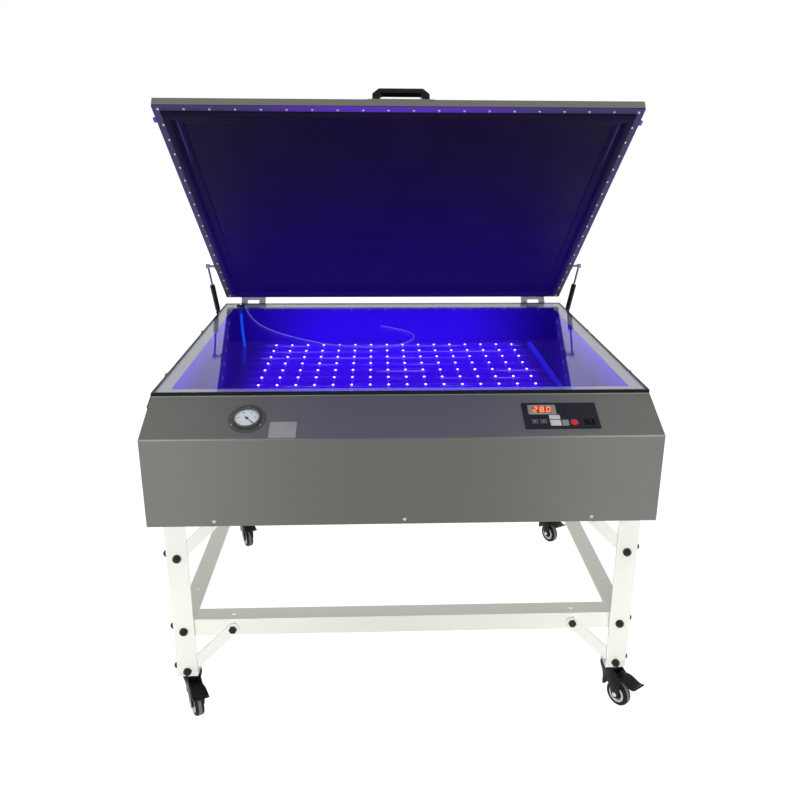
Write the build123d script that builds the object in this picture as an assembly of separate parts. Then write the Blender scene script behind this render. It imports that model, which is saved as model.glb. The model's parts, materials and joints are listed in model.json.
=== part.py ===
"""Screen printing exposure unit: LED light cabinet, vacuum blanket lid and caster stand.

Millimetres. +X is the operator's right, +Y points to the rear, +Z is up. The origin is on the
floor, at the middle of the machine. The lid is modelled closed and then swung up to its stop.
"""
import os
from math import cos, hypot, pi, radians, sin, tan

from build123d import *

# ---------------------------------------------------------------- cabinet
SHEET = 2.0
CABINET_WIDTH = 1200.0
DECK_DEPTH = 975.0
SLOPE_RUN = 130.0
SLOPE_DROP = 60.0
FRONT_FACE_HEIGHT = 217.0
GLASS_TOP_HEIGHT = 812.0
GLASS_THICKNESS = 8.0
DECK_FRONT_Y = -415.0
SKIRT_DEPTH = 45.0
DECK_BORDER_SIDE = 38.0
DECK_BORDER_FRONT = 37.0
DECK_BORDER_REAR = 61.0
DECK_FLANGE_DEPTH = 18.0
EDGE_TRIM = 4.0
VENT_SLOT = (60.0, 5.0)
VENT_SLOT_PITCH = 14.0
VENT_SLOT_COUNT = 6
VENT_SLOT_HEIGHT = 30.0

HALF_WIDTH = CABINET_WIDTH / 2
INNER_HALF = HALF_WIDTH - SHEET
DECK_Z = GLASS_TOP_HEIGHT - GLASS_THICKNESS
CREASE_Z = DECK_Z - SLOPE_DROP
CABINET_BOTTOM_Z = CREASE_Z - FRONT_FACE_HEIGHT
FRONT_Y = DECK_FRONT_Y - SLOPE_RUN
REAR_Y = DECK_FRONT_Y + DECK_DEPTH
PAN_BOTTOM_Z = CABINET_BOTTOM_Z + SKIRT_DEPTH
PAN_TOP_Z = PAN_BOTTOM_Z + SHEET

# ---------------------------------------------------------------- light source
TRAY_DEPTH = 145.0
LED_COLUMNS = 16
LED_ROWS = 12
LED_PITCH_X = 56.0
LED_PITCH_Y = 74.2
LED_ARRAY_OFFSET_Y = 502.0
LED_BAR_LENGTH = 960.0
LED_BAR_WIDTH = 20.0
LED_BAR_THICKNESS = 2.0
LED_CHANNEL_WIDTH = 14.0
LED_CHANNEL_HEIGHT = 8.0
LED_RADIUS = 4.0
LED_HEIGHT = 3.0
TRAY_TOP_Z = GLASS_TOP_HEIGHT - TRAY_DEPTH
LED_ARRAY_Y = DECK_FRONT_Y + LED_ARRAY_OFFSET_Y
DRIVER_SIZE = (110.0, 230.0, 60.0)
DRIVER_PITCH = 190.0
DRIVER_COUNT = 3
DRIVER_X = 250.0
DRIVER_Y = -60.0

# ---------------------------------------------------------------- vacuum line
PORT_INSET = 59.0
PORT_REAR_INSET = 45.0
PORT_RADIUS = 14.0
PORT_HEIGHT = 6.0
PORT_TUBE_RADIUS = 6.0
PORT_TUBE_LENGTH = 24.0
PORT_BORE_RADIUS = 3.0
PORT_NUT_RADIUS = 11.0
PORT_NUT_HEIGHT = 6.0
HOSE_DIAMETER = 10.0
HOSE_FOOT_SHIFT = (8.0, -14.0)
GROMMET_RADIUS = 8.0
PUMP_HEAD_SIZE = (70.0, 60.0, 52.0)
PUMP_MOTOR_RADIUS = 26.0
PUMP_MOTOR_LENGTH = 95.0
PUMP_SADDLE_LIFT = 3.0
PUMP_SADDLE_LENGTH = 24.0
PUMP_SADDLE_WIDTH = 30.0
PUMP_SADDLE_INSET = 16.0
PUMP_BASE_THICKNESS = 4.0
PUMP_SPIGOT_RADIUS = 5.0
PUMP_SPIGOT_HEIGHT = 12.0
CORD_DIAMETER = 3.5
CORD_CLEARANCE = 0.3
PORT_X = -HALF_WIDTH + PORT_INSET
PORT_Y = REAR_Y - PORT_REAR_INSET

# ---------------------------------------------------------------- lid
LID_FRONT_OVERHANG = 8.0
LID_GAP = 12.0
LID_REAR_OVERHANG = 15.0
LID_OPEN_ANGLE = 39.3
LID_RAIL_WIDTH = 24.0
LID_RAIL_HEIGHT = 20.0
LID_RAIL_WALL = 1.5
BLANKET_THICKNESS = 2.0
STRIP_THICKNESS = 2.0
BEAD_WIDTH = 14.0
BEAD_CORNER = 38.0
BEAD_GLASS_CLEARANCE = 0.5
STEP_WIDTH = 22.0
STEP_DEPTH = 3.0
LID_SCREW_COLUMNS = 20
LID_SCREW_ROWS = 18
LID_SCREW_INSET = 12.0
LID_SCREW_HEAD = 3.6
LID_SCREW_SHANK = 2.0
HOLE_CLEARANCE = 0.1
SCREW_HEAD_HEIGHT = 1.6
PIN_OFFSET = 10.0
PIN_RADIUS = 3.0
PIN_CLEARANCE = 0.05
BARREL_RADIUS = 6.0
KNUCKLE_CENTRE = 41.0
KNUCKLE_END = 21.5
KNUCKLE_GAP = 0.3
HINGE_SPACING = 1010.0
HINGE_LEAF = 3.0
HINGE_LEAF_HEIGHT = 20.0
HINGE_BASE_HEIGHT = 40.0
HANDLE_WIDTH = 141.0
HANDLE_HEIGHT = 38.0
HANDLE_BAR = 14.0
HANDLE_LEG = 18.0
HANDLE_DEPTH = 18.0
HANDLE_CHAMFER = 16.0
HANDLE_INSET = 14.0
HANDLE_PLATE = 2.0
HANDLE_PLATE_MARGIN = 2.0

LID_REAR_Y = REAR_Y + LID_REAR_OVERHANG
LID_FRONT_Y = DECK_FRONT_Y - LID_FRONT_OVERHANG
STRIP_BOTTOM_Z = GLASS_TOP_HEIGHT + LID_GAP
STRIP_TOP_Z = STRIP_BOTTOM_Z + STRIP_THICKNESS
BLANKET_TOP_Z = STRIP_TOP_Z + BLANKET_THICKNESS
LID_TOP_Z = BLANKET_TOP_Z + LID_RAIL_HEIGHT
PIN_Y = LID_REAR_Y + PIN_OFFSET
PIN_Z = STRIP_BOTTOM_Z

# ---------------------------------------------------------------- gas struts
STRUT_FROM_SIDE = 27.0
STRUT_X = HALF_WIDTH + STRUT_FROM_SIDE
STRUT_LID_FROM_PIN = 210.4
STRUT_LID_HEIGHT = 13.9
STRUT_BASE_INSET = 10.0
STRUT_BASE_DROP = 30.0
STRUT_EYE_WIDTH = 12.0
STRUT_EYE_RADIUS = 7.5
STRUT_STUD_RADIUS = 4.0
STRUT_STUD_HEAD = 6.0
STRUT_TUBE_RADIUS = 8.5
STRUT_TUBE_START = 16.0
STRUT_TUBE_END = 130.0
STRUT_BORE_RADIUS = 6.5
STRUT_BORE_START = 24.0
STRUT_GLAND = 8.0
STRUT_ROD_RADIUS = 3.5
STRUT_ROD_START = 70.0
STRUT_PISTON_LENGTH = 8.0
BRACKET_THICKNESS = 4.0
BRACKET_SIZE = 22.0

# ---------------------------------------------------------------- side fittings
LATCH_FROM_FRONT = 48.0
LATCH_DROP = 24.0
LATCH_BASE = (22.0, 28.0, 3.0)
LATCH_PIVOT_RADIUS = 2.5
LATCH_BOSS_RADIUS = 5.0
LATCH_BOSS_HEIGHT = 6.7
LATCH_ARM_WIDTH = 12.0
LATCH_ARM_THICKNESS = 3.0
LATCH_NOSE_THICKNESS = 4.0
LATCH_NOSE_GAP = 2.0
LATCH_REST_DIP = 20.0
LATCH_LIP_CLEARANCE = 0.7
KEEPER_LENGTH = 14.0
KEEPER_HEIGHT = 5.3
KEEPER_RISE = 2.0
KEEPER_DEPTH = 8.0
THUMBSCREW_FROM_FRONT = (195.0, 637.0)
THUMBSCREW_DROP = 20.0
THUMBSCREW_HEAD_RADIUS = 10.0
THUMBSCREW_HEAD_LENGTH = 9.0
THUMBSCREW_TIP_RADIUS = 6.0
THUMBSCREW_TIP_LENGTH = 11.0
THUMBSCREW_SHANK = 3.0

# ---------------------------------------------------------------- vacuum gauge
GAUGE_X = -364.0
GAUGE_DOWN = 79.0
GAUGE_FLANGE_RADIUS = 43.0
GAUGE_FLANGE_THICKNESS = 2.5
GAUGE_BEZEL_RADIUS = 33.0
GAUGE_BEZEL_HEIGHT = 9.0
GAUGE_DIAL_RADIUS = 28.5
GAUGE_DIAL_DEPTH = 6.5
GAUGE_CASE_RADIUS = 31.0
GAUGE_CASE_DEPTH = 30.0
GAUGE_SPIGOT_RADIUS = 6.0
GAUGE_SPIGOT_LENGTH = 18.0
GAUGE_HOLE_CLEARANCE = 0.5
GAUGE_SCREW_CIRCLE = 38.0
GAUGE_LENS_THICKNESS = 1.5
GAUGE_PIVOT_RADIUS = 1.5
GAUGE_HUB_RADIUS = 3.5
NEEDLE_LENGTH = 23.0
NEEDLE_TAIL = 8.0
NEEDLE_WIDTH = 1.6
NEEDLE_THICKNESS = 0.6
NEEDLE_LIFT = 1.5
NEEDLE_REST_ANGLE = -45.0

# ---------------------------------------------------------------- control panel
PANEL_X = 368.0
PANEL_DOWN = 77.0
PANEL_WIDTH = 176.0
PANEL_HEIGHT = 82.0
PANEL_THICKNESS = 3.0
PANEL_BOX = (160.0, 76.0, 30.0)
PANEL_BOX_WALL = 2.0
PANEL_CUTOUT_CLEARANCE = 0.5
WINDOW_SIZE = (65.0, 29.0)
WINDOW_CENTRE = (326.0, 58.0)
WINDOW_THICKNESS = 2.2
WINDOW_POCKET = 1.6
KEY_RISE = 1.6
KEY_GAP = 0.3
KEY_FLANGE = 1.0
KEYS = {
    "key_down": (304.0, 98.0, 15.0, 14.0),
    "key_up": (324.0, 98.0, 15.0, 14.0),
    "key_set": (352.0, 83.6, 25.0, 12.0),
    "key_timer": (352.0, 102.0, 25.0, 17.0),
    "key_vacuum": (375.0, 102.0, 15.0, 17.0),
}
START_KEY_CENTRE = (396.0, 101.0)
START_KEY_RADIUS = 9.0
ROCKER_CENTRE = (432.0, 99.0)
ROCKER_POCKET = (21.0, 14.0)
ROCKER_HALF = 8.2
ROCKER_SHOULDER = 4.8
ROCKER_VALLEY = 3.4
ROCKER_TILT = 8.0
ROCKER_PIVOT_DEPTH = 3.0
ROCKER_BODY_RADIUS = 6.5
ROCKER_SIDE_GAP = 0.4
ROCKER_PIN_RADIUS = 1.5
LABEL_SIZE = (62.0, 50.0)
LABEL_CENTRE = (-279.0, 114.0)
LABEL_THICKNESS = 0.8
FRONT_SCREW_SPACING = 444.0
FRONT_SCREW_RISE = 12.0
FRONT_SCREW_HEAD = 4.5
FRONT_SCREW_SHANK = 2.5
INLET_X = 420.0
INLET_Z = 620.0
INLET_SIZE = (48.0, 28.0)
INLET_FLANGE = 3.0
INLET_DEPTH = 28.0
INLET_CAVITY = (24.0, 16.0, 16.0)

# ---------------------------------------------------------------- stand
LEG_SPAN_X = 1126.0
LEG_SPAN_Y = 880.0
LEG_SIZE = 50.0
RAIL_SIZE = 45.0
ANGLE_THICKNESS = 4.0
LEG_BOTTOM_Z = 109.0
FOOT_PLATE = 4.0
RAIL_TOP_Z = 267.0
BRACE_WIDTH = 28.0
BRACE_END = 16.0
BOLT_LOW_Z = 124.0
BOLT_RAIL_Z = 240.0
BOLT_HIGH_Z = 442.0
BRACE_LOW_RUN = 118.0
BRACE_HIGH_RUN = 88.0
BOLT_RADIUS = 5.0
BOLT_HEAD_RADIUS = 9.8
BOLT_HEAD_HEIGHT = 5.5
NUT_HEIGHT = 7.0
BOLT_END = 1.0
ACCESS_HOLE_RADIUS = 5.5
ACCESS_HOLE_FROM_LEG = 118.0
LEG_X = LEG_SPAN_X / 2
BRACE_CUT_REACH = 400.0
BOLT_TOP_Z = BOLT_HIGH_Z + BRACE_HIGH_RUN
STAND_FRONT_Y = FRONT_Y + SHEET
STAND_REAR_Y = STAND_FRONT_Y + LEG_SPAN_Y
STAND_MID_Y = (STAND_FRONT_Y + STAND_REAR_Y) / 2

# ---------------------------------------------------------------- casters
WHEEL_RADIUS = 32.5
WHEEL_WIDTH = 24.0
CASTER_TRAIL = 33.0
CASTER_TOP_GAP = 0.5
AXLE_RADIUS = 4.0
FORK_GAP = 1.2
FORK_PLATE = 2.5
FORK_TOP_THICKNESS = 5.0
FORK_TOP_RADIUS = 21.0
STEM_RADIUS = 6.0
STEM_HEAD_RADIUS = 10.0
STEM_HEAD_HEIGHT = 3.0
STEM_ABOVE_PLATE = 14.0
STEM_NUT_RADIUS = 10.9
STEM_NUT_HEIGHT = 9.0
RUNNING_CLEARANCE = 0.05
SIDE_CLEARANCE = 0.3
BRAKE_PIVOT_Z = 77.0
BRAKE_PIVOT_RADIUS = 2.5
BRAKE_CAM = 11.0
BRAKE_TREAD_START = 14.0
BRAKE_WIDTH = 40.0
BRAKE_REACH = 94.0
BRAKE_LIP = 12.0
BRAKE_TRAVEL = 25.0
CASTER_HEADINGS = {"front_left": 27.0, "front_right": 33.0, "rear_left": 24.0, "rear_right": 28.0}


# ================================================================= helpers
def block(x, y, z):
    """Box from three (low, high) pairs."""
    size = (x[1] - x[0], y[1] - y[0], z[1] - z[0])
    middle = ((x[0] + x[1]) / 2, (y[0] + y[1]) / 2, (z[0] + z[1]) / 2)
    return Pos(*middle) * Box(*size)


def rod(start, end, radius):
    """Round bar between two points."""
    start = Vector(*start)
    along = Vector(*end) - start
    plane = Plane(origin=start, z_dir=along)
    return extrude(plane * Circle(radius), amount=along.length)


def prism_x(points, x_low, x_high):
    """Outline in (y, z), extruded across the machine."""
    outline = make_face(Polyline(*points, close=True))
    return extrude(Plane.YZ.offset(x_low) * outline, amount=x_high - x_low)


def prism_y(points, y_low, y_high):
    """Outline in (x, z), extruded from front to rear."""
    plane = Plane(origin=(0, y_high, 0), x_dir=(1, 0, 0), z_dir=(0, -1, 0))
    outline = make_face(Polyline(*points, close=True))
    return extrude(plane * outline, amount=y_high - y_low)


def hexagon(start, end, radius):
    """Hexagonal head or nut between two points, a flat facing down."""
    start = Vector(*start)
    along = Vector(*end) - start
    side = Vector(0, 0, 1) if abs(along.Z) < abs(along.X) + abs(along.Y) else Vector(1, 0, 0)
    plane = Plane(origin=start, x_dir=along.cross(side), z_dir=along)
    return extrude(plane * RegularPolygon(radius, 6), amount=along.length)


def mirrored_x(solids):
    """The given solids and their mirror images across the machine's middle."""
    return list(solids) + [mirror(solid, about=Plane.YZ) for solid in solids]


def slope_plane():
    """Plane on the sloping panel: x to the right, y up the slope, z outwards."""
    return Plane(
        origin=(0, DECK_FRONT_Y, DECK_Z), x_dir=(1, 0, 0), z_dir=(0, -SLOPE_DROP, SLOPE_RUN)
    )


def on_slope(x, down, out, shape):
    """Place a shape on the slope, a distance down from its top edge and out from its face."""
    return slope_plane().location * Pos(x, -down, out) * shape


def swing_lid(shape, angle=-LID_OPEN_ANGLE):
    """Turn a closed-lid shape about the hinge pin."""
    return shape.rotate(Axis((0, PIN_Y, PIN_Z), (1, 0, 0)), angle)


def ring_frame(half_x, y_low, y_high, width, z_low, z_high, outer_fillet=0.0, inner_fillet=0.0):
    """Rectangular ring of a given band width."""
    length = y_high - y_low
    outer = RectangleRounded(2 * half_x, length, outer_fillet) if outer_fillet else Rectangle(
        2 * half_x, length)
    inner_size = (2 * (half_x - width), length - 2 * width)
    inner = RectangleRounded(*inner_size, inner_fillet) if inner_fillet else Rectangle(*inner_size)
    plane = Plane(origin=(0, (y_low + y_high) / 2, z_low))
    return extrude(plane * (outer - inner), amount=z_high - z_low)


# ================================================================= cabinet shell
def front_panel():
    slope_length = hypot(SLOPE_RUN, SLOPE_DROP)
    normal_y = -SLOPE_DROP / slope_length
    normal_z = SLOPE_RUN / slope_length
    points = [
        (DECK_FRONT_Y, DECK_Z),
        (FRONT_Y, CREASE_Z),
        (FRONT_Y, CABINET_BOTTOM_Z),
        (FRONT_Y + SHEET, CABINET_BOTTOM_Z),
        (FRONT_Y + SHEET, CREASE_Z - SHEET * (1 + normal_y) / normal_z),
        (DECK_FRONT_Y, DECK_Z - SHEET / normal_z),
    ]
    panel = prism_x(points, -INNER_HALF, INNER_HALF)
    gauge_hole = Cylinder(GAUGE_CASE_RADIUS + GAUGE_HOLE_CLEARANCE, 4 * SHEET)
    panel -= on_slope(GAUGE_X, GAUGE_DOWN, 0, gauge_hole)
    cutout = Box(PANEL_BOX[0] + 2 * PANEL_CUTOUT_CLEARANCE,
                 PANEL_BOX[1] + 2 * PANEL_CUTOUT_CLEARANCE, 4 * SHEET)
    panel -= on_slope(PANEL_X, PANEL_DOWN, 0, cutout)
    panel -= gauge_screw_holes()
    return panel - front_screw_holes()


def side_and_rear_panels():
    """The two cabinet sides and the rear panel between them."""
    points = [
        (DECK_FRONT_Y, DECK_Z),
        (FRONT_Y, CREASE_Z),
        (FRONT_Y, CABINET_BOTTOM_Z),
        (REAR_Y, CABINET_BOTTOM_Z),
        (REAR_Y, DECK_Z),
    ]
    panel = prism_x(points, -HALF_WIDTH, -INNER_HALF)
    panel -= thumbscrew_holes()
    return mirrored_x([panel]) + [rear_panel()]


def rear_panel():
    panel = block((-INNER_HALF, INNER_HALF), (REAR_Y - SHEET, REAR_Y), (CABINET_BOTTOM_Z, DECK_Z))
    inlet = (INLET_CAVITY[0] + 2 * SHEET + 2, INLET_CAVITY[1] + 2 * SHEET + 2)
    panel -= Pos(INLET_X, REAR_Y, INLET_Z) * Box(inlet[0], 4 * SHEET, inlet[1])
    first = -VENT_SLOT_PITCH * (VENT_SLOT_COUNT - 1) / 2
    for side in (-1, 1):
        for index in range(VENT_SLOT_COUNT):
            height = PAN_TOP_Z + VENT_SLOT_HEIGHT + first + VENT_SLOT_PITCH * (
                index + VENT_SLOT_COUNT / 4)
            slot = Box(VENT_SLOT[0], 4 * SHEET, VENT_SLOT[1])
            panel -= Pos(side * HALF_WIDTH / 3, REAR_Y, height) * slot
    return panel


def floor_pan():
    return block((-INNER_HALF, INNER_HALF), (FRONT_Y + SHEET, REAR_Y - SHEET),
                 (PAN_BOTTOM_Z, PAN_TOP_Z))


def deck_sheet():
    """Deck sheet under the glass, with its window and the suction port's hole."""
    deck = block((-INNER_HALF, INNER_HALF), (DECK_FRONT_Y, REAR_Y - SHEET), (DECK_Z - SHEET, DECK_Z))
    window_x = HALF_WIDTH - DECK_BORDER_SIDE
    deck -= block((-window_x, window_x),
                  (DECK_FRONT_Y + DECK_BORDER_FRONT, REAR_Y - DECK_BORDER_REAR),
                  (DECK_Z - 2 * SHEET, DECK_Z + SHEET))
    return deck - Pos(PORT_X, PORT_Y, DECK_Z) * Cylinder(PORT_TUBE_RADIUS + HOLE_CLEARANCE, 4 * SHEET)


def deck_flanges():
    """Turned-down edges of the deck sheet: front, rear and the two drilled sides."""
    z = (DECK_Z - DECK_FLANGE_DEPTH, DECK_Z - SHEET)
    across = (-INNER_HALF, INNER_HALF)
    rear = REAR_Y - SHEET
    front_edge = block(across, (DECK_FRONT_Y, DECK_FRONT_Y + SHEET), z)
    rear_edge = block(across, (rear - SHEET, rear), z)
    side = block((-INNER_HALF, -INNER_HALF + SHEET), (DECK_FRONT_Y + SHEET, rear - SHEET), z)
    return [front_edge, rear_edge] + mirrored_x([side - thumbscrew_holes()])


def glass_plate():
    half = HALF_WIDTH - EDGE_TRIM
    plate = block((-half, half), (DECK_FRONT_Y + EDGE_TRIM, REAR_Y - EDGE_TRIM),
                  (DECK_Z, GLASS_TOP_HEIGHT))
    hole = Cylinder(PORT_TUBE_RADIUS + HOLE_CLEARANCE, 4 * GLASS_THICKNESS)
    return plate - Pos(PORT_X, PORT_Y, DECK_Z) * hole


def edge_trim():
    """Black rubber strip round the glass edge, standing on the deck."""
    return ring_frame(HALF_WIDTH, DECK_FRONT_Y, REAR_Y, EDGE_TRIM, DECK_Z, GLASS_TOP_HEIGHT)


# ================================================================= light source
def led_tray():
    tray = block((-INNER_HALF, INNER_HALF), (FRONT_Y + SHEET, REAR_Y - SHEET),
                 (TRAY_TOP_Z - SHEET, TRAY_TOP_Z))
    hose_x = PORT_X + HOSE_FOOT_SHIFT[0]
    hose_y = PORT_Y + HOSE_FOOT_SHIFT[1]
    return tray - Pos(hose_x, hose_y, TRAY_TOP_Z) * Cylinder(GROMMET_RADIUS, 4 * SHEET)


def led_row_y(row):
    return LED_ARRAY_Y + (row - (LED_ROWS - 1) / 2) * LED_PITCH_Y


def led_bars():
    half = LED_BAR_LENGTH / 2
    bars = []
    for row in range(LED_ROWS):
        middle = led_row_y(row)
        bars.append(block((-half, half), (middle - LED_BAR_WIDTH / 2, middle + LED_BAR_WIDTH / 2),
                          (TRAY_TOP_Z, TRAY_TOP_Z + LED_BAR_THICKNESS)))
    ends = (led_row_y(0) - LED_BAR_WIDTH / 2, led_row_y(LED_ROWS - 1) + LED_BAR_WIDTH / 2)
    channel = block((half, half + LED_CHANNEL_WIDTH), ends,
                    (TRAY_TOP_Z, TRAY_TOP_Z + LED_CHANNEL_HEIGHT))
    return bars + mirrored_x([channel])


def led_lenses():
    base = TRAY_TOP_Z + LED_BAR_THICKNESS
    lens = Cylinder(LED_RADIUS, LED_HEIGHT, align=(Align.CENTER, Align.CENTER, Align.MIN))
    lenses = []
    for row in range(LED_ROWS):
        for column in range(LED_COLUMNS):
            x = (column - (LED_COLUMNS - 1) / 2) * LED_PITCH_X
            lenses.append(Pos(x, led_row_y(row), base) * lens)
    return lenses


def led_drivers():
    width, depth, height = DRIVER_SIZE
    drivers = []
    for index in range(DRIVER_COUNT):
        x = DRIVER_X + (index - (DRIVER_COUNT - 1) / 2) * DRIVER_PITCH
        drivers.append(block((x - width / 2, x + width / 2),
                             (DRIVER_Y - depth / 2, DRIVER_Y + depth / 2),
                             (PAN_TOP_Z, PAN_TOP_Z + height)))
    return drivers


# ================================================================= vacuum line
def vacuum_port():
    """Through-glass suction fitting: ring on the glass, tube, and nut under the deck."""
    ring = Pos(PORT_X, PORT_Y, GLASS_TOP_HEIGHT + PORT_HEIGHT / 2) * Cylinder(
        PORT_RADIUS, PORT_HEIGHT)
    ring = fillet(ring.edges().group_by(Axis.Z)[-1], 2.0)
    tube_low = DECK_Z - PORT_TUBE_LENGTH
    tube = rod((PORT_X, PORT_Y, tube_low), (PORT_X, PORT_Y, GLASS_TOP_HEIGHT), PORT_TUBE_RADIUS)
    nut_top = DECK_Z - SHEET
    nut = hexagon((PORT_X, PORT_Y, nut_top - PORT_NUT_HEIGHT), (PORT_X, PORT_Y, nut_top),
                  PORT_NUT_RADIUS)
    bore = rod((PORT_X, PORT_Y, tube_low - 1), (PORT_X, PORT_Y, GLASS_TOP_HEIGHT + 20),
               PORT_BORE_RADIUS)
    return ring + tube + nut - bore


def hose_route():
    """Suction hose from the port, down through the tray grommet, to the pump."""
    foot_x = PORT_X + HOSE_FOOT_SHIFT[0]
    foot_y = PORT_Y + HOSE_FOOT_SHIFT[1]
    top = DECK_Z - PORT_TUBE_LENGTH
    foot = PAN_TOP_Z + PUMP_BASE_THICKNESS + PUMP_HEAD_SIZE[2] + PUMP_SPIGOT_HEIGHT
    drop = top - foot
    return [
        (PORT_X, PORT_Y, top),
        (PORT_X, PORT_Y, top - 0.26 * drop),
        (PORT_X + 0.42 * HOSE_FOOT_SHIFT[0], PORT_Y + 0.56 * HOSE_FOOT_SHIFT[1], top - 0.51 * drop),
        (foot_x, foot_y, top - 0.74 * drop),
        (foot_x, foot_y, foot),
    ]


def vacuum_pump():
    """Diaphragm pump: head under the hose, motor beside it, on one base plate."""
    foot_x = PORT_X + HOSE_FOOT_SHIFT[0]
    foot_y = PORT_Y + HOSE_FOOT_SHIFT[1]
    width, depth, height = PUMP_HEAD_SIZE
    base_top = PAN_TOP_Z + PUMP_BASE_THICKNESS
    right = foot_x + width / 2
    base = block((foot_x - width / 2, right + PUMP_MOTOR_LENGTH),
                 (foot_y - depth / 2, foot_y + depth / 2), (PAN_TOP_Z, base_top))
    head = block((foot_x - width / 2, right), (foot_y - depth / 2, foot_y + depth / 2),
                 (base_top, base_top + height))
    motor_z = base_top + PUMP_MOTOR_RADIUS + PUMP_SADDLE_LIFT
    motor = rod((right, foot_y, motor_z), (right + PUMP_MOTOR_LENGTH, foot_y, motor_z),
                PUMP_MOTOR_RADIUS)
    saddle_end = right + PUMP_MOTOR_LENGTH - PUMP_SADDLE_INSET
    saddle = block((saddle_end - PUMP_SADDLE_LENGTH, saddle_end),
                   (foot_y - PUMP_SADDLE_WIDTH / 2, foot_y + PUMP_SADDLE_WIDTH / 2),
                   (base_top, motor_z - PUMP_MOTOR_RADIUS / 2))
    spigot = rod((foot_x, foot_y, base_top + height),
                 (foot_x, foot_y, base_top + height + PUMP_SPIGOT_HEIGHT), PUMP_SPIGOT_RADIUS)
    return base + head + motor + saddle + spigot


def cord_route():
    """Air-bleed cord on the glass: from the port rim, round, and back to its loose end."""
    z = GLASS_TOP_HEIGHT + CORD_CLEARANCE + CORD_DIAMETER / 2
    points = [
        (-526, 509), (-512, 462), (-499, 411), (-483, 360), (-465, 309), (-444, 259), (-418, 210),
        (-387, 164), (-351, 121), (-311, 82), (-268, 46), (-224, 13), (-176, -11), (-123, -25),
        (-69, -31), (-16, -19), (24, 17), (49, 65), (50, 116), (21, 158), (-16, 194), (-50, 219),
    ]
    return [(x, y, z) for x, y in points]


def tube_along(points, diameter):
    """Tube of straight runs and tangent arcs, with the radius of each arc."""
    radii = []
    for before, here, after in zip(points, points[1:], points[2:]):
        into = Vector(*here) - Vector(*before)
        out = Vector(*after) - Vector(*here)
        turn = radians(into.get_angle(out))
        radii.append(0.45 * min(into.length, out.length) / tan(turn / 2))
    path = FilletPolyline(*points, radius=radii)
    start = Plane(origin=points[0], z_dir=path % 0)
    return sweep(start * Circle(diameter / 2), path=path), path, radii


# ================================================================= lid
def lid_rails():
    """Four square-tube rails, the side ones between the front and rear ones."""
    rails = []
    spans = [
        ((-HALF_WIDTH, HALF_WIDTH), (LID_FRONT_Y, LID_FRONT_Y + LID_RAIL_WIDTH), 0),
        ((-HALF_WIDTH, HALF_WIDTH), (LID_REAR_Y - LID_RAIL_WIDTH, LID_REAR_Y), 0),
        ((-HALF_WIDTH, -HALF_WIDTH + LID_RAIL_WIDTH),
         (LID_FRONT_Y + LID_RAIL_WIDTH, LID_REAR_Y - LID_RAIL_WIDTH), 1),
        ((HALF_WIDTH - LID_RAIL_WIDTH, HALF_WIDTH),
         (LID_FRONT_Y + LID_RAIL_WIDTH, LID_REAR_Y - LID_RAIL_WIDTH), 1),
    ]
    wall = LID_RAIL_WALL
    for x, y, along in spans:
        rail = block(x, y, (BLANKET_TOP_Z, LID_TOP_Z))
        inside_x = (x[0] + wall, x[1] - wall)
        inside_y = (y[0] + wall, y[1] - wall)
        rail -= block(inside_x, inside_y, (BLANKET_TOP_Z + wall, LID_TOP_Z - wall))
        rails.append(rail)
    return rails


def lid_screw_centres():
    half = HALF_WIDTH - LID_SCREW_INSET
    front = LID_FRONT_Y + LID_SCREW_INSET
    rear = LID_REAR_Y - LID_SCREW_INSET
    step_x = 2 * half / (LID_SCREW_COLUMNS - 1)
    step_y = (rear - front) / (LID_SCREW_ROWS - 1)
    centres = []
    for column in range(LID_SCREW_COLUMNS):
        x = -half + column * step_x
        centres.append((x, front))
        centres.append((x, rear))
    for row in range(1, LID_SCREW_ROWS - 1):
        y = front + row * step_y
        centres.append((-half, y))
        centres.append((half, y))
    return centres


def lid_screw_holes():
    low = STRIP_BOTTOM_Z - 1
    high = BLANKET_TOP_Z + LID_RAIL_WALL + 2
    return [rod((x, y, low), (x, y, high), LID_SCREW_SHANK + HOLE_CLEARANCE)
            for x, y in lid_screw_centres()]


def lid_screws():
    screws = []
    top = BLANKET_TOP_Z + LID_RAIL_WALL
    for x, y in lid_screw_centres():
        shank = rod((x, y, STRIP_BOTTOM_Z), (x, y, top), LID_SCREW_SHANK)
        head = rod((x, y, STRIP_BOTTOM_Z - SCREW_HEAD_HEIGHT), (x, y, STRIP_BOTTOM_Z),
                   LID_SCREW_HEAD)
        screws.append(shank + head)
    return screws


def clamp_strips():
    """Four flat strips that clamp the blanket's edge, one under each rail."""
    z = (STRIP_BOTTOM_Z, STRIP_TOP_Z)
    front = (LID_FRONT_Y, LID_FRONT_Y + LID_RAIL_WIDTH)
    rear = (LID_REAR_Y - LID_RAIL_WIDTH, LID_REAR_Y)
    between = (front[1], rear[0])
    full = (-HALF_WIDTH, HALF_WIDTH)
    left = (-HALF_WIDTH, -HALF_WIDTH + LID_RAIL_WIDTH)
    right = (HALF_WIDTH - LID_RAIL_WIDTH, HALF_WIDTH)
    return [block(full, front, z), block(full, rear, z), block(left, between, z),
            block(right, between, z)]


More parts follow.
